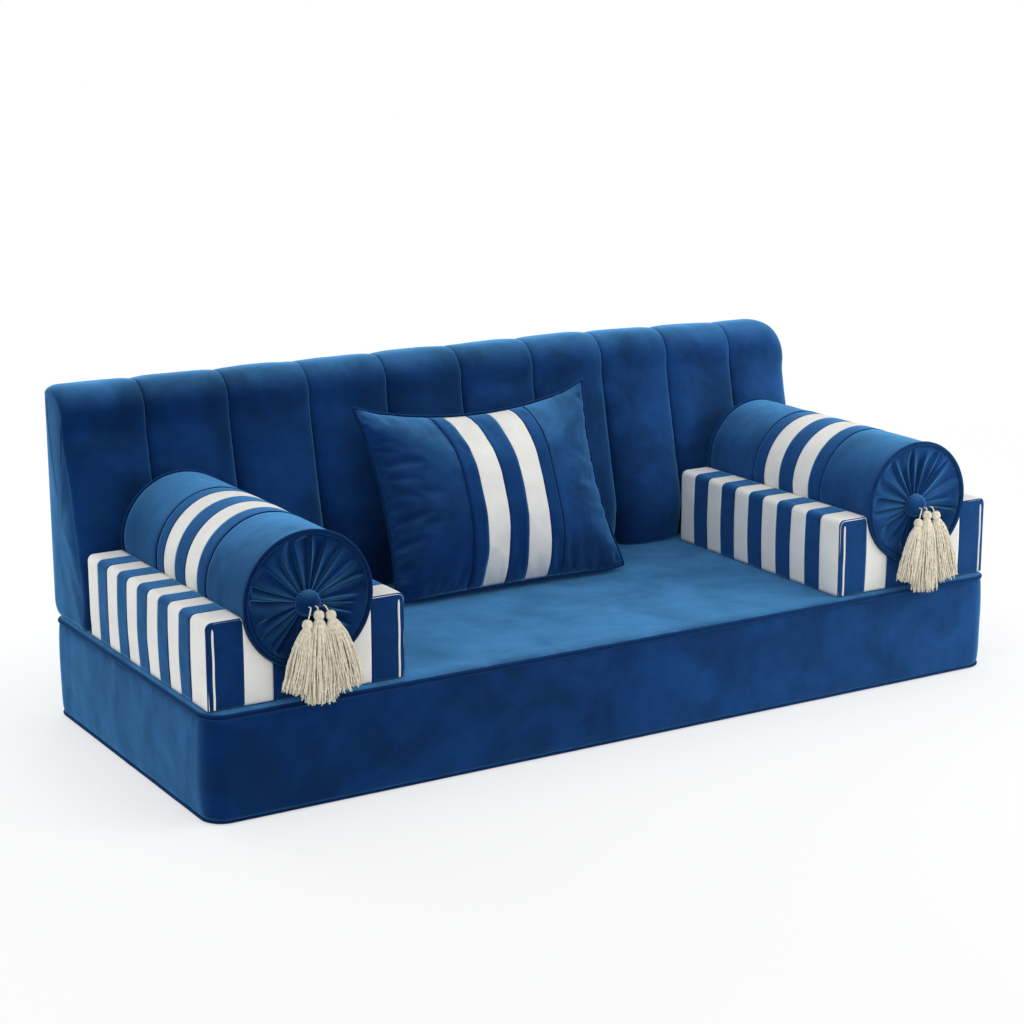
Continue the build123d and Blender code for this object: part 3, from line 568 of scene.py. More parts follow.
def back_profile(bulge, draw, drop):
    """(y, z) points from the lower front edge, up the front and over the top to the rear."""
    scale = 1 - draw / LOBE_DEPTH[1]
    depths = [(seam + bulge * (lobe - seam)) * scale for seam, lobe in zip(SEAM_DEPTH, LOBE_DEPTH)]
    base_y, belly_y, shoulder_y = (REAR - depth for depth in depths)
    top = BACK_H - (1 - bulge) * SEAM_DROP - drop
    shoulder = SHOULDER_Z - drop
    crest_y = shoulder_y + 0.62 * (BACK_REAR - shoulder_y)
    low_mid = (base_y + 0.67 * (belly_y - base_y), 0.42 * BELLY_Z)
    high_mid = (shoulder_y + 0.26 * (crest_y - shoulder_y), shoulder + 0.74 * (top - shoulder))
    foot = three_point_arc((base_y, 0.0), low_mid, (belly_y, BELLY_Z), 20)
    line = np.linspace((belly_y, BELLY_Z), (shoulder_y, shoulder), 40)[1:-1]
    brow = three_point_arc((shoulder_y, shoulder), high_mid, (crest_y, top), 26)
    roof = np.linspace((crest_y, top), (REAR - 0.004, top - 0.002), 8)[1:]
    edge = [(REAR - 0.0012, top - 0.0045)]
    return resample(np.concatenate([foot, line, brow, roof, edge]), PROFILE_POINTS, 5)


def back_columns():
    """Places along X, each with its bulge, its draw, its drop and its distance to the nearest seam."""
    seams = np.linspace(-BACK_HALF, BACK_HALF, CHANNELS + 1)
    half = (seams[1] - seams[0]) / 2
    turn = np.linspace(-pi / 2, pi / 2, 23)
    rounded = np.sign(turn) * np.abs(np.sin(turn)) ** (2 / 3)
    across = np.unique(np.round(np.concatenate([rounded, np.linspace(-1, 1, 15)]), 3))
    low = -BACK_END + LEFT_ROLL
    high = BACK_END - RIGHT_ROLL
    columns = []
    for k in range(CHANNELS):
        for a in across[:-1]:
            x = (seams[k] + seams[k + 1]) / 2 + a * half
            outer_side = (k == 0 and a < 0) or (k == CHANNELS - 1 and a > 0)
            bulge = 1.0 if outer_side else (1 - abs(a) ** 3) ** 0.5
            gap = half if outer_side else half * (1 - abs(a))
            if low + 0.002 < x < high - 0.002:
                columns.append((x, bulge, 0.0, 0.0, gap))
    for side, place, roll, share, count in (
        (-1, low, LEFT_ROLL, LEFT_DROP, 12), (1, high, RIGHT_ROLL, RIGHT_DROP, 20),
    ):
        for angle in np.radians(np.linspace(0, 90, count)):
            draw = roll * (1 - cos(angle))
            columns.append((place + side * roll * sin(angle), 1.0, draw, share * draw, half))
    return sorted(columns)


columns = back_columns()
column_gap = np.array([c[4] for c in columns])
back_grid = np.zeros((len(columns), PROFILE_POINTS, 3))
for k, (x, bulge, draw, drop, gap) in enumerate(columns):
    over = max(x - DIP_FROM, 0)
    back_grid[k, :, 0] = x - DIP_IN * over
    back_grid[k, :, 1:] = back_profile(bulge, draw, drop)
    back_grid[k, :, 2] *= 1 - DIP_DOWN * over
back_grid[:, :, 2] += SEAT
column_x = back_grid[:, 0, 0].copy()


def soften_back():
    """Lets the channels swell unevenly, with puckers beside their seams."""
    du = np.gradient(back_grid, axis=0).reshape(-1, 3)
    dv = np.gradient(back_grid, axis=1).reshape(-1, 3)
    normal = np.cross(du, dv)
    normal /= np.maximum(np.linalg.norm(normal, axis=1), 1e-9)[:, None]
    flat = back_grid.reshape(-1, 3)
    if normal[:, 1].sum() > 0:
        normal = -normal
    gap = np.repeat(column_gap, PROFILE_POINTS)
    calm = smooth((gap - 0.004) / 0.03) * smooth((flat[:, 2] - SEAT) / 0.03)
    push = 0.0022 * fbm(flat, 0.15, 41) * calm
    pucker = np.exp(-gap / 0.018) * clamp(gap / 0.003)
    push += 0.0009 * noise3(flat * (0.35, 1, 1), 0.022, 43) * pucker
    flat += normal * push[:, None]
    flat[:, 1] = np.minimum(flat[:, 1], REAR - 0.0010)


soften_back()


def back_end(index, side):
    """End face of the back, inside the last section's outline, with its lower rear corner rounded."""
    edge = back_grid[index].copy()
    x = edge[0, 0]
    turn = np.radians(np.linspace(10, 90, 9))
    rear = grid_of(x, REAR - 0.0008, np.linspace(edge[-1, 2] - 0.004, BEND_Z, 34))
    low_y = BEND_Y + REAR_CORNER * np.cos(turn)
    low = grid_of(x, low_y, BEND_Z - REAR_CORNER * np.sin(turn))
    floor_line = grid_of(x, np.linspace(BEND_Y, edge[0, 1], 20)[1:-1], SEAT)
    boundary = np.concatenate([edge, rear, low, floor_line])
    grid = face_inside(boundary, 22, (side * 0.0048, 0, 0), 3.0, 47, 0.0009)
    return surface(grid, (0, 0.28, 0.4), wrap_v=True)


cover = [surface(back_grid, (0, 0.45, 0.35)), back_end(0, -1), back_end(-1, 1)]
build(
    "back_cushion_cover", cover, "back", VELVET,
    "back_channel_panel", "back_foam_core", "back_end_panels",
    padded=0.8, weld=0.0003, thickness=0.0015,
)
BACK_ZIP_Z = (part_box("back_zip")[0][2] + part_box("back_zip")[1][2]) / 2


def back_rear():
    """Rear panel of the back, up to the roof's edge, with the zip's slot open."""
    inner = np.linspace(-SLOT_HALF_X, SLOT_HALF_X, 121)
    xs = np.unique(np.round(np.concatenate([column_x[:14], column_x[-20:], inner]), 4))
    roof = np.interp(xs, column_x, back_grid[:, -1, 2]) - 0.0005
    turn = np.radians(np.linspace(0, 90, 7))
    slot = BACK_ZIP_Z + SLOT_HALF_Z * np.array([-1, 0, 1])
    low = np.concatenate([BEND_Z - REAR_CORNER * np.cos(turn), slot])
    high = slot[2] + (roof[:, None] - slot[2]) * np.linspace(0, 1, 26)[1:]
    heights = np.hstack([np.tile(low, (len(xs), 1)), high])
    ys = np.full(heights.shape[1], REAR)
    ys[:7] = BEND_Y + REAR_CORNER * np.sin(turn)
    grid = grid_of(xs[:, None], ys, heights)
    points = grid.reshape(-1, 3)
    calm = clamp(np.minimum(column_x[-1] - points[:, 0], points[:, 0] - column_x[0]) / 0.05)
    calm = calm * clamp((points[:, 2] - slot[2] - 0.016) / 0.05)
    calm = calm * clamp((SEAT + BACK_H - points[:, 2]) / 0.06)
    points[:, 1] += (0.0010 + 0.0012 * fbm(points, 0.2, 51)) * calm
    points, quads = surface(grid, (0, 0, 0.4))
    return points, open_slot(points, quads, BACK_ZIP_Z)


build(
    "back_cushion_rear", [back_rear()], "back", LINING, "back_rear_panel",
    padded=0.8, thickness=0.002,
)


def back_under():
    ys = np.linspace(back_grid[:, 0, 1], BEND_Y, 10).T
    return surface(grid_of(column_x[:, None], ys, SEAT), (0, 0.28, 1))


build("back_cushion_underside", [back_under()], "back", LINING, "back_bottom_panel", thickness=0.001)


# Arm cushions

ARM_ROLL = 0.012
TROUGH_R = BOLSTER_R + 0.0028
TROUGH_Z = AXIS_Z - SEAT
STRIPES = 11
EDGE_W = 0.010
LINE_W = 0.004
BLUE_W = 0.054
WHITE_W = 0.054
SIDE_SWELL = 0.0030
FRONT_SWELL = 0.0026
LIP = sqrt(TROUGH_R**2 - (TROUGH_Z - ARM_H) ** 2)


def arm_section():
    """(x, z) outline over the arm, from its lower left edge to its lower right, and its side's count."""
    half = ARM_W / 2
    turn = np.radians(np.linspace(0, 90, 9)[1:])
    wall = np.column_stack([np.full(22, -half), np.linspace(0.001, ARM_H - ARM_ROLL, 22)])
    corner = np.column_stack([-half + ARM_ROLL * (1 - np.cos(turn)), ARM_H - ARM_ROLL * (1 - np.sin(turn))])
    shelf = np.column_stack([np.linspace(-half + ARM_ROLL, -LIP, 10), np.full(10, ARM_H)])[1:]
    left = np.concatenate([wall, corner, shelf])
    start = np.arctan2(ARM_H - TROUGH_Z, -LIP)
    end = np.arctan2(ARM_H - TROUGH_Z, LIP)
    turn = np.linspace(start - tau if start > 0 else start, end, 45)[1:-1]
    trough = np.column_stack([TROUGH_R * np.cos(turn), TROUGH_Z + TROUGH_R * np.sin(turn)])
    right = left[::-1] * (-1, 1)
    return np.concatenate([left, trough, right]), len(left)


section, n_left = arm_section()
outer_wall = np.abs(section[:, 0]) > ARM_W / 2 - ARM_ROLL - 0.001
side_weight = np.ones(len(section))
side_weight[n_left:-n_left] = 0
top_weight = side_weight * (section[:, 1] > ARM_H - 0.001)
side_sign = np.sign(section[:, 0])


def arm_wrap(centre_x, low_y, high_y, seed, rows=15):
    """One strip of the cover, from low_y to high_y, over the arm's section."""
    across, up = section.T
    ys = np.linspace(low_y, high_y, rows)[:, None]
    middle = (high_y + low_y) / 2
    swell = SIDE_SWELL * np.sin(pi * clamp(up / ARM_H)) * outer_wall
    tuck = 0.0004 * np.abs((ys - middle) / (high_y - middle)) ** 8
    along = np.sin(pi * clamp((ys - ARM_FRONT) / (ARM_REAR - ARM_FRONT)))
    along = np.maximum(0, along) ** 0.5
    soft = 0.0022 * np.exp(-np.minimum(ys - ARM_FRONT, ARM_REAR - ys) / 0.0025)
    xs = centre_x + across + side_sign * (swell * along - tuck * side_weight - soft * outer_wall)
    zs = SEAT + up - tuck * top_weight - soft * side_weight * (up > ARM_H - ARM_ROLL)
    grid = grid_of(xs, ys, zs)
    points = grid.reshape(-1, 3)
    wall = clamp(up / 0.02) * outer_wall
    points[:, 0] += 0.0009 * fbm(points, 0.09, seed, 2) * np.tile(wall * side_sign, rows)
    return surface(grid, (centre_x, middle, SEAT + 0.02))


def top_at(x):
    """Height of the arm's top at places across it, above the seat."""
    x = np.abs(x)
    roll = x - (ARM_W / 2 - ARM_ROLL)
    trough = TROUGH_Z - np.sqrt(np.maximum(TROUGH_R**2 - x**2, 0))
    rolled = ARM_H - ARM_ROLL + np.sqrt(np.maximum(ARM_ROLL**2 - roll**2, 0))
    return np.where(x < LIP, trough, np.where(roll > 0, rolled, ARM_H))


def front_swell(x, zs):
    """How far the arm's front face stands out between its seams."""
    inner = np.maximum(0.0, 1 - (np.abs(x) / (ARM_W / 2)) ** 4) ** 0.5
    return FRONT_SWELL * inner * np.sin(pi * clamp(zs / ARM_H)) ** 0.6


def arm_face(centre_x, low, high, seed, y_face, facing, lift=0.0):
    """A stretch of the front or rear face between two places across the arm."""
    half = ARM_W / 2
    rolled = half - ARM_ROLL * (1 - np.sin(np.radians(np.linspace(0, 90, 8))))
    even = np.linspace(low, high, max(3, int((high - low) / 0.004) + 1))
    xs = np.unique(np.concatenate([even, rolled, -rolled]))
    xs = xs[(xs >= low) & (xs <= high)][:, None]
    top = top_at(xs) - 0.0002
    zs = 0.001 + (top - 0.001) * np.concatenate([np.linspace(0, 0.94, 24), [0.965, 0.985, 1.0]])
    tuck = 0.0016 * np.exp(-(top - zs) / 0.0022) + 0.0016 * np.exp(-(half - np.abs(xs)) / 0.0018)
    ys = y_face + facing * (front_swell(xs, zs) - np.minimum(tuck, 0.0024) + lift)
    grid = grid_of(centre_x + xs, ys, SEAT + zs)
    points = grid.reshape(-1, 3)
    points[:, 1] += facing * 0.0006 * fbm(points, 0.08, seed, 2)
    return surface(grid, (centre_x, y_face - facing * 0.2, SEAT + 0.08))


def arm_line(centre_x, side):
    """Thin white cord down the front face, just in from its outer edge."""
    x = side * (ARM_W / 2 - EDGE_W - LINE_W / 2)
    zs = np.linspace(0.002, ARM_H - 0.012, 60)
    ys = ARM_FRONT - front_swell(x, zs) - 0.0006
    path = grid_of(centre_x + x + 0.0003 * np.sin(zs * 90), ys, SEAT + zs)
    size = np.full(len(path), LINE_W / 2)
    size[-4:] *= (0.95, 0.85, 0.6, 0.3)
    return tube(path, size, 10)


def arm_underside(centre_x):
    half = ARM_W / 2 - 0.001
    xs = np.linspace(centre_x - half, centre_x + half, 20)
    ys = np.linspace(ARM_FRONT + 0.001, ARM_REAR - 0.001, 28)
    return surface(grid_of(xs[:, None], ys, SEAT + 0.0008), (centre_x, 0, 1))


def make_arm(side_name, centre_x, seed, stretch):
    """One arm cushion, whose stripes lie further back towards the front, by stretch at the last one."""
    body = f"{side_name}_arm"
    length = (STRIPE_HIGH[1] - STRIPE_LOW[1]) / STRIPES
    bounds = [STRIPE_HIGH[1] - k * length + stretch * (k / (STRIPES - 1)) ** 2 for k in range(STRIPES)]
    bounds = [ARM_REAR, *bounds[1:], ARM_FRONT]
    for first, (colour, look) in enumerate((("white", WHITE), ("blue", STRIPE_BLUE))):
        strips = [
            arm_wrap(centre_x, bounds[index + 1], bounds[index], seed + index)
            for index in range(first, STRIPES, 2)
        ]
        stripes = [f"{body}_{colour}_stripes"] + [f"{body}_foam_core"] * (colour == "white")
        build(f"{body}_{colour}_strips", strips, body, look, *stripes, padded=0.85, thickness=0.002)
    half = ARM_W / 2
    blue_low = half - EDGE_W - LINE_W - BLUE_W
    white_low = blue_low - WHITE_W
    blue = ((-half, -blue_low), (-white_low, white_low), (blue_low, half))
    white = ((-blue_low, -white_low), (white_low, blue_low))
    for colour, look, spans in (("blue", STRIPE_BLUE, blue), ("white", WHITE, white)):
        faces = [arm_face(centre_x, a, b, seed + 3, ARM_FRONT, -1) for a, b in spans]
        build(
            f"{body}_front_{colour}", faces, body, look, f"{body}_front_{colour}_panels",
            padded=0.85, thickness=0.002,
        )
    lines = [arm_line(centre_x, -1), arm_line(centre_x, 1)]
    build(f"{body}_front_lines", lines, body, WHITE, f"{body}_front_piping")
    rear = arm_face(centre_x, -half, half, seed + 5, ARM_REAR, 1, -0.003)
    build(f"{body}_rear", [rear], body, VELVET, f"{body}_rear_panel", padded=0.85, thickness=0.002)
    under = arm_underside(centre_x)
    build(f"{body}_underside", [under], body, LINING, f"{body}_bottom_panel", thickness=0.0005)


# Bolsters

SEAM_PLACE = 0.1105
SEAM_CORD = 0.002
WHITE_INNER = 0.024
WHITE_OUTER = 0.073
DISC_R = RING_R - PIPING + 0.0015
BUTTON_SEAT = RING_PLACE - 0.0069
BUTTON_DROP = AXIS_Z - BUTTON_Z
PLEATS = 23
FOLD_LEAST = 0.0040
FOLD_MORE = 0.0110
TURNS = 176
DISC_TURNS = 468


def bolster_tube(centre_x, low, high, seed):
    """A stretch of the bolster's cover between two places along its axis."""
    rows = max(4, int((high - low) / 0.004) + 1)
    ys = np.linspace(low, high, rows)
    turn = circle(TURNS)
    radius = BOLSTER_R - 0.0006 + 0.0012 * np.cos(ys / RING_PLACE * pi / 2)
    for place in (-SEAM_PLACE, SEAM_PLACE):
        radius -= 0.0018 * np.exp(-np.abs(ys - place) / 0.0035)
    radius -= 0.0030 * np.exp(-(RING_PLACE - np.abs(ys)) / 0.004)
    for place in (-WHITE_OUTER, -WHITE_INNER, WHITE_INNER, WHITE_OUTER):
        radius -= 0.0003 * np.exp(-np.abs(ys - place) / 0.0012)
    direction = grid_of(np.cos(turn), 0, np.sin(turn))
    centre = grid_of(centre_x, BOLSTER_Y + ys[:, None], AXIS_Z)
    grid = centre + radius[:, None, None] * direction
    points = grid.reshape(-1, 3)
    place = np.abs(np.repeat(ys, TURNS))
    near = np.exp(-(RING_PLACE - place) / 0.016) + 0.6 * np.exp(-np.abs(place - SEAM_PLACE) / 0.010)
    push = 0.0008 * fbm(points, 0.11, seed, 2)
    push += 0.0005 * noise3(points * (1, 0.3, 1), 0.016, seed + 3) * near
    free = clamp((points[:, 2] - (AXIS_Z - 0.02)) / 0.03)
    points += np.tile(direction, (rows, 1)) * (np.minimum(push, 0.0012) * free)[:, None]
    return surface(grid, (centre_x, BOLSTER_Y + (low + high) / 2, AXIS_Z), wrap_v=True)


def ring(centre_x, place, ring_radius, radius, seed, sides=12):
    turn = circle(220)
    across = centre_x + ring_radius * np.cos(turn)
    path = grid_of(across, BOLSTER_Y + place, AXIS_Z + ring_radius * np.sin(turn))
    size = radius * (1 + 0.04 * noise3(path, 0.014, seed))
    return tube(path, size, sides, closed=True)


def fold_heights(turn, share, seed, count=PLEATS):
    """Knife pleats round the button: 0 on a pleat's edge, towards 1 in the fold beside it."""
    rng = np.random.default_rng(seed)
    gaps = 0.55 + 0.9 * rng.random(count)
    edges = np.concatenate([[0], np.cumsum(gaps)]) / gaps.sum() * tau
    reach = 0.78 + 0.55 * rng.random(count)
    depth = 0.55 + 0.65 * rng.random(count)
    bent = (turn + 0.05 * share * np.sin(3 * turn + seed) + 0.03 * share**2 * np.sin(7 * turn)) % tau
    index = np.clip(np.searchsorted(edges, bent, side="right") - 1, 0, count - 1)
    following = (index + 1) % count
    phase = (bent - edges[index]) / (edges[index + 1] - edges[index])
    weight = smooth(phase)
    local_reach = reach[index] * (1 - weight) + reach[following] * weight
    local_depth = depth[index] * (1 - weight) + depth[following] * weight
    fold = 0.20
    falling = smooth(phase / fold)
    rising = 1 - clamp((phase - fold) / (1 - fold)) ** 1.5
    shape = np.where(phase < fold, falling, rising)
    return shape * local_depth * smooth((local_reach - share) / 0.45) * smooth((1 - share) / 0.12)


def disc(centre_x, side, seed):
    """Gathered end of the bolster: pleats that run in to the button, a little below the middle."""
    share = np.concatenate([[-0.08, -0.03], np.linspace(0, 0.25, 12), np.linspace(0.25, 0.94, 26)[1:]])
    share = np.concatenate([share, [0.96, 0.98, 1.0]])
    turn = circle(DISC_TURNS)
    rim = BUTTON_DROP * np.sin(turn) + np.sqrt(DISC_R**2 - (BUTTON_DROP * np.cos(turn)) ** 2)
    inner = BUTTON_R * 0.86
    s, t = np.meshgrid(share, turn, indexing="ij")
    reach = inner + (rim[None, :] - inner) * s
    out = clamp(s)
    face = BUTTON_SEAT - 0.0010 + (RING_PLACE + 0.0012 - BUTTON_SEAT) * out**0.55
    face -= 0.0045 * np.exp(-(1 - out) * 0.09 / 0.0030)
    size = FOLD_LEAST + FOLD_MORE * np.sin(clamp(out * 1.5) * pi / 2) * (1 - 0.40 * out)
    face -= size * fold_heights(t, out, seed)
    grid = grid_of(centre_x + reach * np.cos(t), BOLSTER_Y + side * face, BUTTON_Z + reach * np.sin(t))
    return surface(grid, (centre_x, BOLSTER_Y, AXIS_Z), wrap_v=True)


def button(centre_x, side, seed):
    """Covered dome in the middle of the disc, with the cover's crimps at its foot."""
    turn = circle(96)
    angle = np.linspace(0, pi / 2, 26)[:, None]
    crimp = 0.0006 * np.cos(19 * turn + seed) * np.cos(angle) ** 6
    reach = (BUTTON_R - 0.0006) * np.cos(angle) ** 0.8 + 0.0002 + crimp
    rise = (BUTTON_CREST - BUTTON_SEAT) * np.sin(angle) ** 1.05
    dome = grid_of(reach * np.cos(turn), rise, reach * np.sin(turn))
    grid = np.concatenate([dome[:1] * (0.02, 0, 0.02), dome])
    grid = grid * (1, side, 1) + (centre_x, BOLSTER_Y + side * BUTTON_SEAT, BUTTON_Z)
    return surface(grid, (centre_x, BOLSTER_Y + side * 0.25, BUTTON_Z), wrap_v=True)


def make_bolster(side_name, centre_x, seed):
    body = f"{side_name}_bolster"
    places = (-RING_PLACE, -SEAM_PLACE, -WHITE_OUTER, -WHITE_INNER)
    places += tuple(-place for place in places[::-1])
    for name, look, stretches in (
        ("velvet_sleeves", VELVET, (0, 6)),
        ("blue_bands", STRIPE_BLUE, (1, 3, 5)),
        ("white_bands", WHITE, (2, 4)),
    ):
        tubes = [bolster_tube(centre_x, places[k], places[k + 1], seed) for k in stretches]
        covered = [f"{body}_{name}"] + [f"{body}_core"] * (name == "velvet_sleeves")
        build(f"{body}_{name}_cloth", tubes, body, look, *covered, padded=0.9, thickness=0.0016)
    cords = [ring(centre_x, s * RING_PLACE, RING_R, PIPING, seed + 5) for s in (-1, 1)]
    cords += [ring(centre_x, s * SEAM_PLACE, BOLSTER_R - 0.0012, SEAM_CORD, seed + 7, 8) for s in (-1, 1)]
    build(f"{body}_cords", cords, body, CORD_BLUE, f"{body}_piping")
    ends = [disc(centre_x, -1, seed), disc(centre_x, 1, seed + 1)]
    build(
        f"{body}_gathered_ends", ends, body, VELVET, f"{body}_end_discs",
        padded=0.8, thickness=0.0012,
    )
    buttons = [button(centre_x, -1, 1), button(centre_x, 1, 2)]
    build(f"{body}_covered_buttons", buttons, body, VELVET, f"{body}_buttons", padded=1.0)


# Tassels

HEAD_ACROSS = (-0.14, 0.044, 0.234)      # of the bolster's radius
HEAD_DROP = (0.302, 0.190, 0.215)
LEANS = (-12.0, 0.0, 12.0)
TASSEL_LENGTHS = (0.133, 0.170, 0.152)
HEAD_R = 0.0095
SKIRT_R = (0.0235, 0.0290, 0.0300)
CORD_R = 0.0012
SKIRT_FLAT = 0.58
STRAND_R = 0.00125
STRANDS = (118, 150, 150)
WRAPPED = 36


def tassel_strand(head, directions, around, spread, total, skirt, wrapped, rng):
    """Middle line of one strand, over the head when it is an outer one, and down the skirt."""
    down, side, front = directions
    out = cos(around) * side + sin(around) * front * SKIRT_FLAT
    neck = 0.0056 * spread
    reach = skirt * spread * (0.90 + 0.16 * rng.random())
    phase = rng.random(4) * tau
    sway = rng.normal(0, 0.0013, 2)
    first = HEAD_R * 0.75
    s = np.linspace(0.05, 1, 24)
    flare = neck + (reach - neck) * (0.80 * (1 - (1 - s) ** 4.2) + 0.20 * s)
    wave = 0.0013 * s**0.5
    across = sway[0] * s * 2 + wave * (np.sin(9 * s + phase[0]) + 0.45 * np.sin(23 * s + phase[1]))
    depth = sway[1] * s * 2 + wave * (np.sin(8 * s + phase[2]) + 0.45 * np.sin(21 * s + phase[3]))
    points = head + np.outer(first + (total - first) * s, down) + np.outer(flare, out)
    points += np.outer(across, side) + np.outer(SKIRT_FLAT * depth, front)
    if wrapped:
        a = np.radians(np.linspace(12, 140, 9))
        round_head = cos(around) * side + sin(around) * front
        over = np.outer(np.sin(a), round_head) - np.outer(np.cos(a), down)
        points = np.concatenate([head + (HEAD_R - 0.0012) * over, points])
    return points


def tuft(path, rng):
    """Short fibres that spread from the cut end of a strand."""
    end = path[-1]
    along = unit(path[-1] - path[-3])
    parts = []
    for _ in range(3):
        away = rng.normal(0, 1, 3)
        away[1] *= 0.5
        away = unit(away - along * away.dot(along))
        reach = 0.0022 + 0.0022 * rng.random()
        start = end - along * 0.0006
        middle = end + along * reach * 0.5 + away * 0.0005
        tip = end + along * reach + away * 0.0013
        parts.append(tube([start, middle, tip], np.array([0.0008, 0.0007, 0.0003]), 4))
    return parts


def make_tassel(name, centre_x, number, seed):
    rng = np.random.default_rng(seed)
    hinge = next(j for j in frame["joints"] if j["child"] == name)
    knot = np.array(hinge["pos_m"])
    head = np.array([
        centre_x + BOLSTER_R * HEAD_ACROSS[number],
        knot[1],
        AXIS_Z - BOLSTER_R * HEAD_DROP[number],
    ])
    lean = radians(LEANS[number])
    down = np.array([sin(lean), 0, -cos(lean)])
    side = np.array([cos(lean), 0, sin(lean)])
    front = np.array([0, 1.0, 0])
    length = TASSEL_LENGTHS[number] - HEAD_R
    start = knot + (0, 0.0075, 0)
    cord_path = resample([start, (start + knot) / 2, knot, knot * 0.6 + head * 0.4, head], 26, 2)
    parts = [tube(cord_path, CORD_R, 8, plies=2, twist=0.8, ply_size=0.2)]
    for k in range(STRANDS[number]):
        wrapped = k < WRAPPED
        around = tau * k / WRAPPED + 0.05 * rng.normal() if wrapped else k * 2.39996
        spread = 1.0 if wrapped else sqrt(rng.random()) * 0.97
        total = length * (0.91 + 0.09 * rng.random()) * (1 - 0.04 * spread)
        skirt = SKIRT_R[number]
        points = tassel_strand(head, (down, side, front), around, spread, total, skirt, wrapped, rng)
        gaps = np.linalg.norm(np.diff(points, axis=0), axis=1)
        path = resample(points, int(gaps.sum() / 0.0034) + 1)
        path[:, 1] = np.minimum(path[:, 1], -REAR - STRAND_R - 0.0004)
        size = np.full(len(path), STRAND_R)
        size[-2:] *= (0.97, 0.85)
        parts.append(tube(path, size, 6, plies=2, twist=1.05, ply_size=0.26))
        if spread > 0.45:
            parts += tuft(path, rng)
    turn = np.linspace(0, tau * 4.0, 90)
    wind = head + np.outer(HEAD_R * 0.78 + 0.0042 * np.linspace(0, 1, 90), down)
    wind = wind + 0.0064 * (np.outer(np.cos(turn), side) + np.outer(np.sin(turn), front))
    parts.append(tube(wind, 0.0009, 6))
    build(f"{name}_yarn", parts, name, YARN, name)


# Throw pillow

PILLOW_W = 0.547
PILLOW_H = 0.407
PILLOW_T = 0.160
LEAN = radians(25.0)
TOP_SAG = 0.038
SIDE_SAG = 0.021
LOW_SAG = 0.005
EAR = 0.006
EDGE_IN = 0.006
EDGE_CORD = 0.0035
PILLOW_AT = (np.array(PILLOW_LOW) + np.array(PILLOW_HIGH)) / 2 + (-0.007, 0.0, 0.003)
PX = np.array([1.0, 0, 0])
PY = np.array([0, sin(LEAN), cos(LEAN)])
PZ = np.array([0, -cos(LEAN), sin(LEAN)])


def placed(local):
    local = np.asarray(local, float)
    return PILLOW_AT + local[..., :1] * PX + local[..., 1:2] * PY + local[..., 2:3] * PZ


def pillow_flat(u, v, inset):
    """Place of (u, v), each from -1 to 1, on the pillow's seam plane."""
    x = u * (PILLOW_W / 2 - inset - SIDE_SAG * (1 - v * v))
    sag = np.where(v > 0, TOP_SAG, LOW_SAG)
    y = v * (PILLOW_H / 2 - inset - sag * (1 - u * u))
    ear = clamp((np.abs(u) - 0.80) / 0.20) * clamp((np.abs(v) - 0.80) / 0.20)
    drawn = np.where(v > 0, EAR * (1.2 + 0.5 * u), -EAR) * ear**1.5
    return x + np.sign(u) * 0.4 * drawn, y + np.sign(v) * drawn


def axis_places(count, marks):
    """Places from -1 to 1, closer at the ends, with some exact ones among them."""
    t = np.linspace(-1, 1, count)
    places = np.sign(t) * (1 - (1 - np.abs(t)) ** 1.25)
    for mark in marks:
        places[np.argmin(np.abs(places - mark))] = mark
    return np.sort(places)


BAND_EDGES = [s * w / (PILLOW_W / 2 - EDGE_IN) for s in (-1, 1) for w in (0.024, 0.076, 0.110)]
US = axis_places(125, BAND_EDGES)
VS = axis_places(97, [0.0])


def pillow_shape():
    """Points of the front and the rear face, as two grids that share the seam's places."""
    u, v = np.meshgrid(US, VS, indexing="ij")
    x, y = pillow_flat(u, v, EDGE_IN)
    swell = ((1 - np.abs(u) ** 2.2) * (1 - np.abs(v) ** 2.2)) ** 0.52
    flat = grid_of(u * 0.25, v * 0.2, 0).reshape(-1, 3)
    edge = np.minimum(1 - np.abs(u), 1 - np.abs(v))
    rough = 0.0030 * fbm(flat, 0.09, 91, 3).reshape(u.shape) * smooth(edge / 0.12)
    side_gap = (1 - np.abs(u)) * PILLOW_W / 2
    top_gap = (1 - np.abs(v)) * PILLOW_H / 2
    crease = 0
    for folds, gap, depth, reach, seed in (
        (grid_of(np.sign(u), v * 6.5, 0), side_gap, 0.0030, 0.035, 95),
        (grid_of(u * 8, np.sign(v), 0), top_gap, 0.0026, 0.030, 96),
    ):
        waves = noise3(folds.reshape(-1, 3), 0.5, seed).reshape(u.shape)
        crease = crease + depth * waves * np.exp(-gap / reach) * clamp(gap / 0.012)
    front = PILLOW_T / 2 * swell * (1 + 0.05 * v) + rough + crease
    rear = -(PILLOW_T / 2 - 0.001) * swell - 0.4 * rough
    return grid_of(x, y, front), grid_of(x, y, rear)


SIM_PRESSURE = 4.0
SIM_GROW = 0.02
SIM_FRAMES = 20
SIM_SHARE = 0.75
SIM_CAP = 0.018


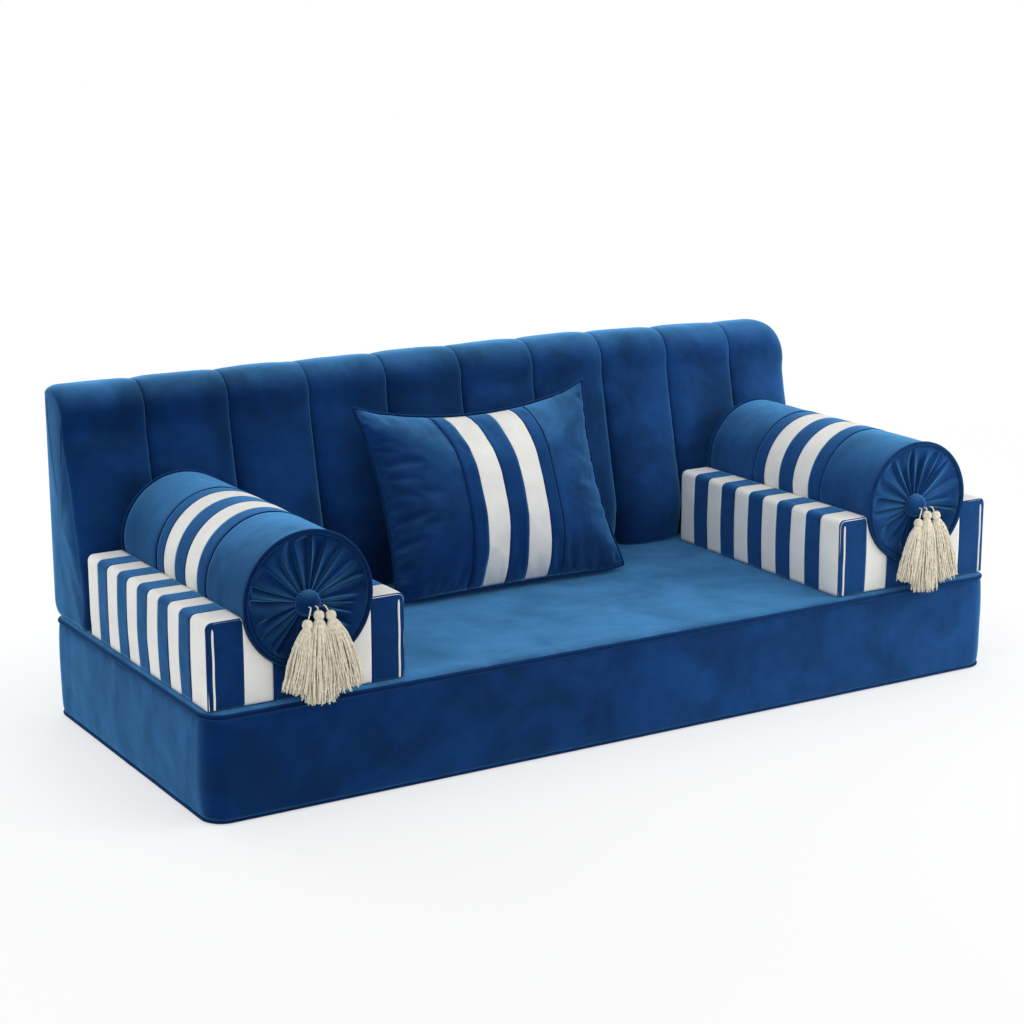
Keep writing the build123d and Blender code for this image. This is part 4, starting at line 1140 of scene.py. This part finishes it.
def simulate(points, quads, pinned):
    """The points, moved a share of the way that Blender's cloth takes them, by the cap at most."""
    mesh = bpy.data.meshes.new("cloth_shape")
    mesh.from_pydata(points.tolist(), [], quads.tolist())
    obj = new_object("cloth_shape", mesh)
    group = obj.vertex_groups.new(name="pin")
    group.add([int(i) for i in np.flatnonzero(pinned)], 1.0, "REPLACE")
    cloth = obj.modifiers.new("cloth", "CLOTH")
    for key, value in {
        "quality": 6,
        "mass": 0.25,
        "tension_stiffness": 12,
        "compression_stiffness": 12,
        "shear_stiffness": 4,
        "bending_stiffness": 0.8,
        "use_pressure": True,
        "uniform_pressure_force": SIM_PRESSURE,
        "vertex_group_mass": "pin",
        "shrink_min": -SIM_GROW,
    }.items():
        setattr(cloth.settings, key, value)
    cloth.settings.effector_weights.gravity = 0
    cloth.collision_settings.use_collision = False
    cloth.point_cache.frame_start = 1
    cloth.point_cache.frame_end = SIM_FRAMES
    scene = bpy.context.scene
    for k in range(1, SIM_FRAMES + 1):
        scene.frame_set(k)
    evaluated = obj.evaluated_get(bpy.context.evaluated_depsgraph_get())
    moved = np.zeros(len(points) * 3)
    evaluated.data.vertices.foreach_get("co", moved)
    scene.frame_set(1)
    bpy.data.objects.remove(obj)
    bpy.data.meshes.remove(mesh)
    step = SIM_SHARE * (moved.reshape(-1, 3) - points)
    size = np.linalg.norm(step, axis=1)
    return points + step * np.minimum(1, SIM_CAP / np.maximum(size, 1e-9))[:, None]


def filled_pillow():
    """The two faces in their place, filled by the cloth simulation."""
    front, rear = pillow_shape()
    nu, nv = front.shape[:2]
    count = nu * nv
    edge = np.zeros((nu, nv), bool)
    edge[[0, -1]] = True
    edge[:, [0, -1]] = True
    edge = edge.ravel()
    rear_index = np.arange(count) + count
    rear_index[edge] = np.flatnonzero(edge)
    points = np.concatenate([front.reshape(-1, 3), rear.reshape(-1, 3)])
    _, front_quads = surface(front, (0, 0, -1))
    _, rear_quads = surface(rear, (0, 0, 1))
    used, closed = numbered(np.concatenate([front_quads, rear_index[rear_quads]]))
    pinned = np.isin(used, np.flatnonzero(edge))
    points[used] = simulate(points[used] * (1, 1, 0.94), closed, pinned)
    faces = []
    for index in (np.arange(count), rear_index):
        grid = placed(points[index]).reshape(nu, nv, 3)
        grid[:, :, 2] = np.maximum(grid[:, :, 2], SEAT + 0.0005)
        faces.append(grid)
    return faces


def make_pillow():
    front, rear = filled_pillow()
    nu, nv = front.shape[:2]
    marks = [int(np.argmin(np.abs(US - b))) for b in sorted(BAND_EDGES)]
    points, quads = surface(front, PILLOW_AT - PZ)
    column = quads.min(1) // nv
    band = np.searchsorted(marks, column, side="right")
    for name, look, bands in (
        ("front_velvet", VELVET, (0, 6)),
        ("blue_bands", STRIPE_BLUE, (1, 3, 5)),
        ("white_bands", WHITE, (2, 4)),
    ):
        cloth = (points, quads[np.isin(band, bands)])
        covered = [f"pillow_{name}"] + ["pillow_fill"] * (name == "front_velvet")
        build(f"pillow_{name}_cloth", [cloth], "pillow", look, *covered, padded=0.75, thickness=0.0015)
    cloth = surface(rear, PILLOW_AT + PZ)
    build(
        "pillow_rear_cloth", [cloth], "pillow", VELVET, "pillow_back_panel",
        padded=0.75, thickness=0.0015,
    )
    seams = [tube(front[mark, 1:-1] + PZ * 0.0003, 0.0018, 8) for mark in (marks[0], marks[-1])]
    build("pillow_seam_cords", seams, "pillow", CORD_BLUE, "pillow_seam_piping")
    loop = np.concatenate([front[:, 0], front[-1, 1:], front[-2::-1, -1], front[0, -2:0:-1]])
    loop = loop + 0.0022 * unit(loop - loop.mean(0))
    for _ in range(3):
        loop = 0.25 * np.roll(loop, 1, 0) + 0.5 * loop + 0.25 * np.roll(loop, -1, 0)
    loop[:, 2] = np.maximum(loop[:, 2], SEAT + EDGE_CORD + 0.0002)
    edge = tube(loop, EDGE_CORD, 10, closed=True)
    build("pillow_edge_cord", [edge], "pillow", CORD_BLUE, "pillow_edge_piping")


# Zips

TAPE_DEPTH = 0.0045
TEETH = 370


def make_zip(name, y_face, centre_z, body):
    """Tape with its two rows of teeth, over the CAD tape's place."""
    inner = y_face - TAPE_DEPTH
    xs = (SLOT_HALF_X - 0.0005) * np.linspace(-1, 1, 160)[:, None]
    tapes = []
    for low, high in ((-0.0145, -0.0012), (0.0012, 0.0145)):
        grid = grid_of(xs, inner + 0.001 + 0.0002 * np.sin(xs * 55), centre_z + np.linspace(low, high, 6))
        tapes.append(surface(grid, (0, 0, centre_z)))
    corners = np.array([(x, y, z) for x in (-1, 1) for y in (-1, 1) for z in (-1, 1)], float)
    sides = ((0, 1, 3, 2), (4, 6, 7, 5), (0, 4, 5, 1), (2, 3, 7, 6), (0, 2, 6, 4), (1, 5, 7, 3))
    tooth = corners * (0.0013, 0.0008, 0.0018) * (1 - 0.25 * (corners[:, 1:2] > 0))
    teeth = []
    for k, x in enumerate((SLOT_HALF_X - 0.0025) * np.linspace(-1, 1, TEETH)):
        row = 0.0011 if k % 2 else -0.0011
        teeth.append((tooth + (x, inner + 0.0018, centre_z + row), np.array(sides)))
    build(f"{name}_tape", tapes, body, TAPE, name, thickness=0.0006)
    chain = build(f"{name}_teeth", teeth, body, NYLON)
    chain.data.polygons.foreach_set("use_smooth", np.zeros(len(chain.data.polygons), bool))


for side_name, sign, seed, stretch in (("left", -1, 0, 0.014), ("right", 1, 40, 0.0085)):
    make_arm(side_name, sign * ARM_X, 60 + seed, stretch)
    make_bolster(side_name, sign * ARM_X, 101 + seed)
    for number in range(3):
        make_tassel(f"{side_name}_tassel_{number + 1}", sign * ARM_X, number, 200 + seed + number)
make_pillow()
make_zip("base_zip", FACE_Y, BASE_ZIP_Z, "base")
make_zip("back_zip", REAR, BACK_ZIP_Z, "back")

for node in ("base_zip_slider", "back_zip_slider"):
    shown = frame["nodes"][node]
    shown.data.materials.clear()
    shown.data.materials.append(METAL)


# Floor, light and camera

def straight_rays(look):
    """1 for what the camera sees directly, or in metal, and 0 for the rays that carry soft light."""
    path = look.node("LightPath", {})
    either = path.outputs["Is Camera Ray"]
    for name in ("Is Glossy Ray", "Is Transmission Ray"):
        either = look.math("MAXIMUM", either, path.outputs[name])
    return either


FLOOR_HALF = 400
floor_mesh = bpy.data.meshes.new("floor")
corners = [(x * FLOOR_HALF, y * FLOOR_HALF, -0.0005) for x, y in ((-1, -1), (1, -1), (1, 1), (-1, 1))]
floor_mesh.from_pydata(corners, [], [(0, 1, 2, 3)])
floor = new_object("floor", floor_mesh)
look = Look(bpy.data.materials.new("floor_white"))
pale = {"Base Color": (0.93, 0.93, 0.93, 1), "Roughness": 0.9, "Specular IOR Level": 0.0}
look.fill(look.shader, pale)
distance = look.node("VectorMath", {0: look.coords.outputs["Object"]}, operation="LENGTH")
fade = {"From Min": 1.0, "From Max": 3.2, "To Min": 0.55, "To Max": 1.0}
fade = look.node("MapRange", {"Value": distance.outputs["Value"], **fade})
seen = look.math("MULTIPLY", fade.outputs["Result"], straight_rays(look))
glow = look.node("Emission", {})
mix = look.node("MixShader", {0: seen, 1: look.shader.outputs[0], 2: glow.outputs[0]})
look.fill(look.tree.nodes["Material Output"], {0: mix.outputs[0]})
floor.data.materials.append(look.owner)

world = bpy.data.worlds.new("studio")
bpy.context.scene.world = world
look = Look(world)
soft_light = look.tree.nodes["Background"]
look.fill(soft_light, {"Color": (0.97, 0.985, 1.0, 1), "Strength": 0.64})
white = look.node("Background", {"Color": (1, 1, 1, 1)})
mix = look.node("MixShader", {0: straight_rays(look), 1: soft_light.outputs[0], 2: white.outputs[0]})
look.fill(look.tree.nodes["World Output"], {0: mix.outputs[0]})


def lamp(name, kind, aim, strength, colour, **settings):
    """A light that shines along its aim."""
    data = bpy.data.lights.new(name, kind)
    data.energy = strength
    data.color = colour
    for key, value in settings.items():
        setattr(data, key, value)
    light = new_object(name, data)
    light.rotation_euler = Vector(aim).to_track_quat("-Z", "Y").to_euler()
    return light


def panel(name, place, target, width, height, watts, colour):
    """Soft rectangular lamp, out of the picture itself."""
    aim = Vector(target) - Vector(place)
    light = lamp(name, "AREA", aim, watts, colour, shape="RECTANGLE", size=width, size_y=height)
    light.location = place
    light.visible_camera = False


WARM = (1.0, 0.99, 0.97)
lamp("key", "SUN", (-0.45, 0.45, -1.25), 0.55, WARM, angle=radians(50))
lamp("fill", "SUN", (0.9, 0.25, -0.6), 0.62, (0.90, 0.95, 1.0), angle=radians(70))
panel("rear", (-0.4, 3.0, 1.6), (0, 0, 0.3), 4.0, 1.4, 45, (0.97, 0.99, 1.0))
panel("front_right", (2.0, -1.6, 1.3), (0.2, -0.1, 0.3), 1.3, 1.3, 18, WARM)

CAMERA_AT = Vector((-2.3439, -3.7744, 1.4535))
YAW = 0.5454
PITCH = 0.2400
ROLL = -0.0019
LENS = 80.71
forward = Vector((sin(YAW) * cos(PITCH), cos(YAW) * cos(PITCH), -sin(PITCH)))
right = Vector((cos(YAW), -sin(YAW), 0))
up = right.cross(forward)
across = right * cos(ROLL) + up * sin(ROLL)
upward = -right * sin(ROLL) + up * cos(ROLL)
camera_data = bpy.data.cameras.new("camera")
camera_data.sensor_width = 36
camera_data.sensor_fit = "HORIZONTAL"
camera_data.lens = LENS
camera_data.clip_end = 2000
camera = new_object("camera", camera_data)
turned = Matrix((across, upward, -forward)).transposed().to_4x4()
camera.matrix_world = Matrix.Translation(CAMERA_AT) @ turned
bpy.context.scene.camera = camera
bpy.context.scene.view_settings.view_transform = "Standard"
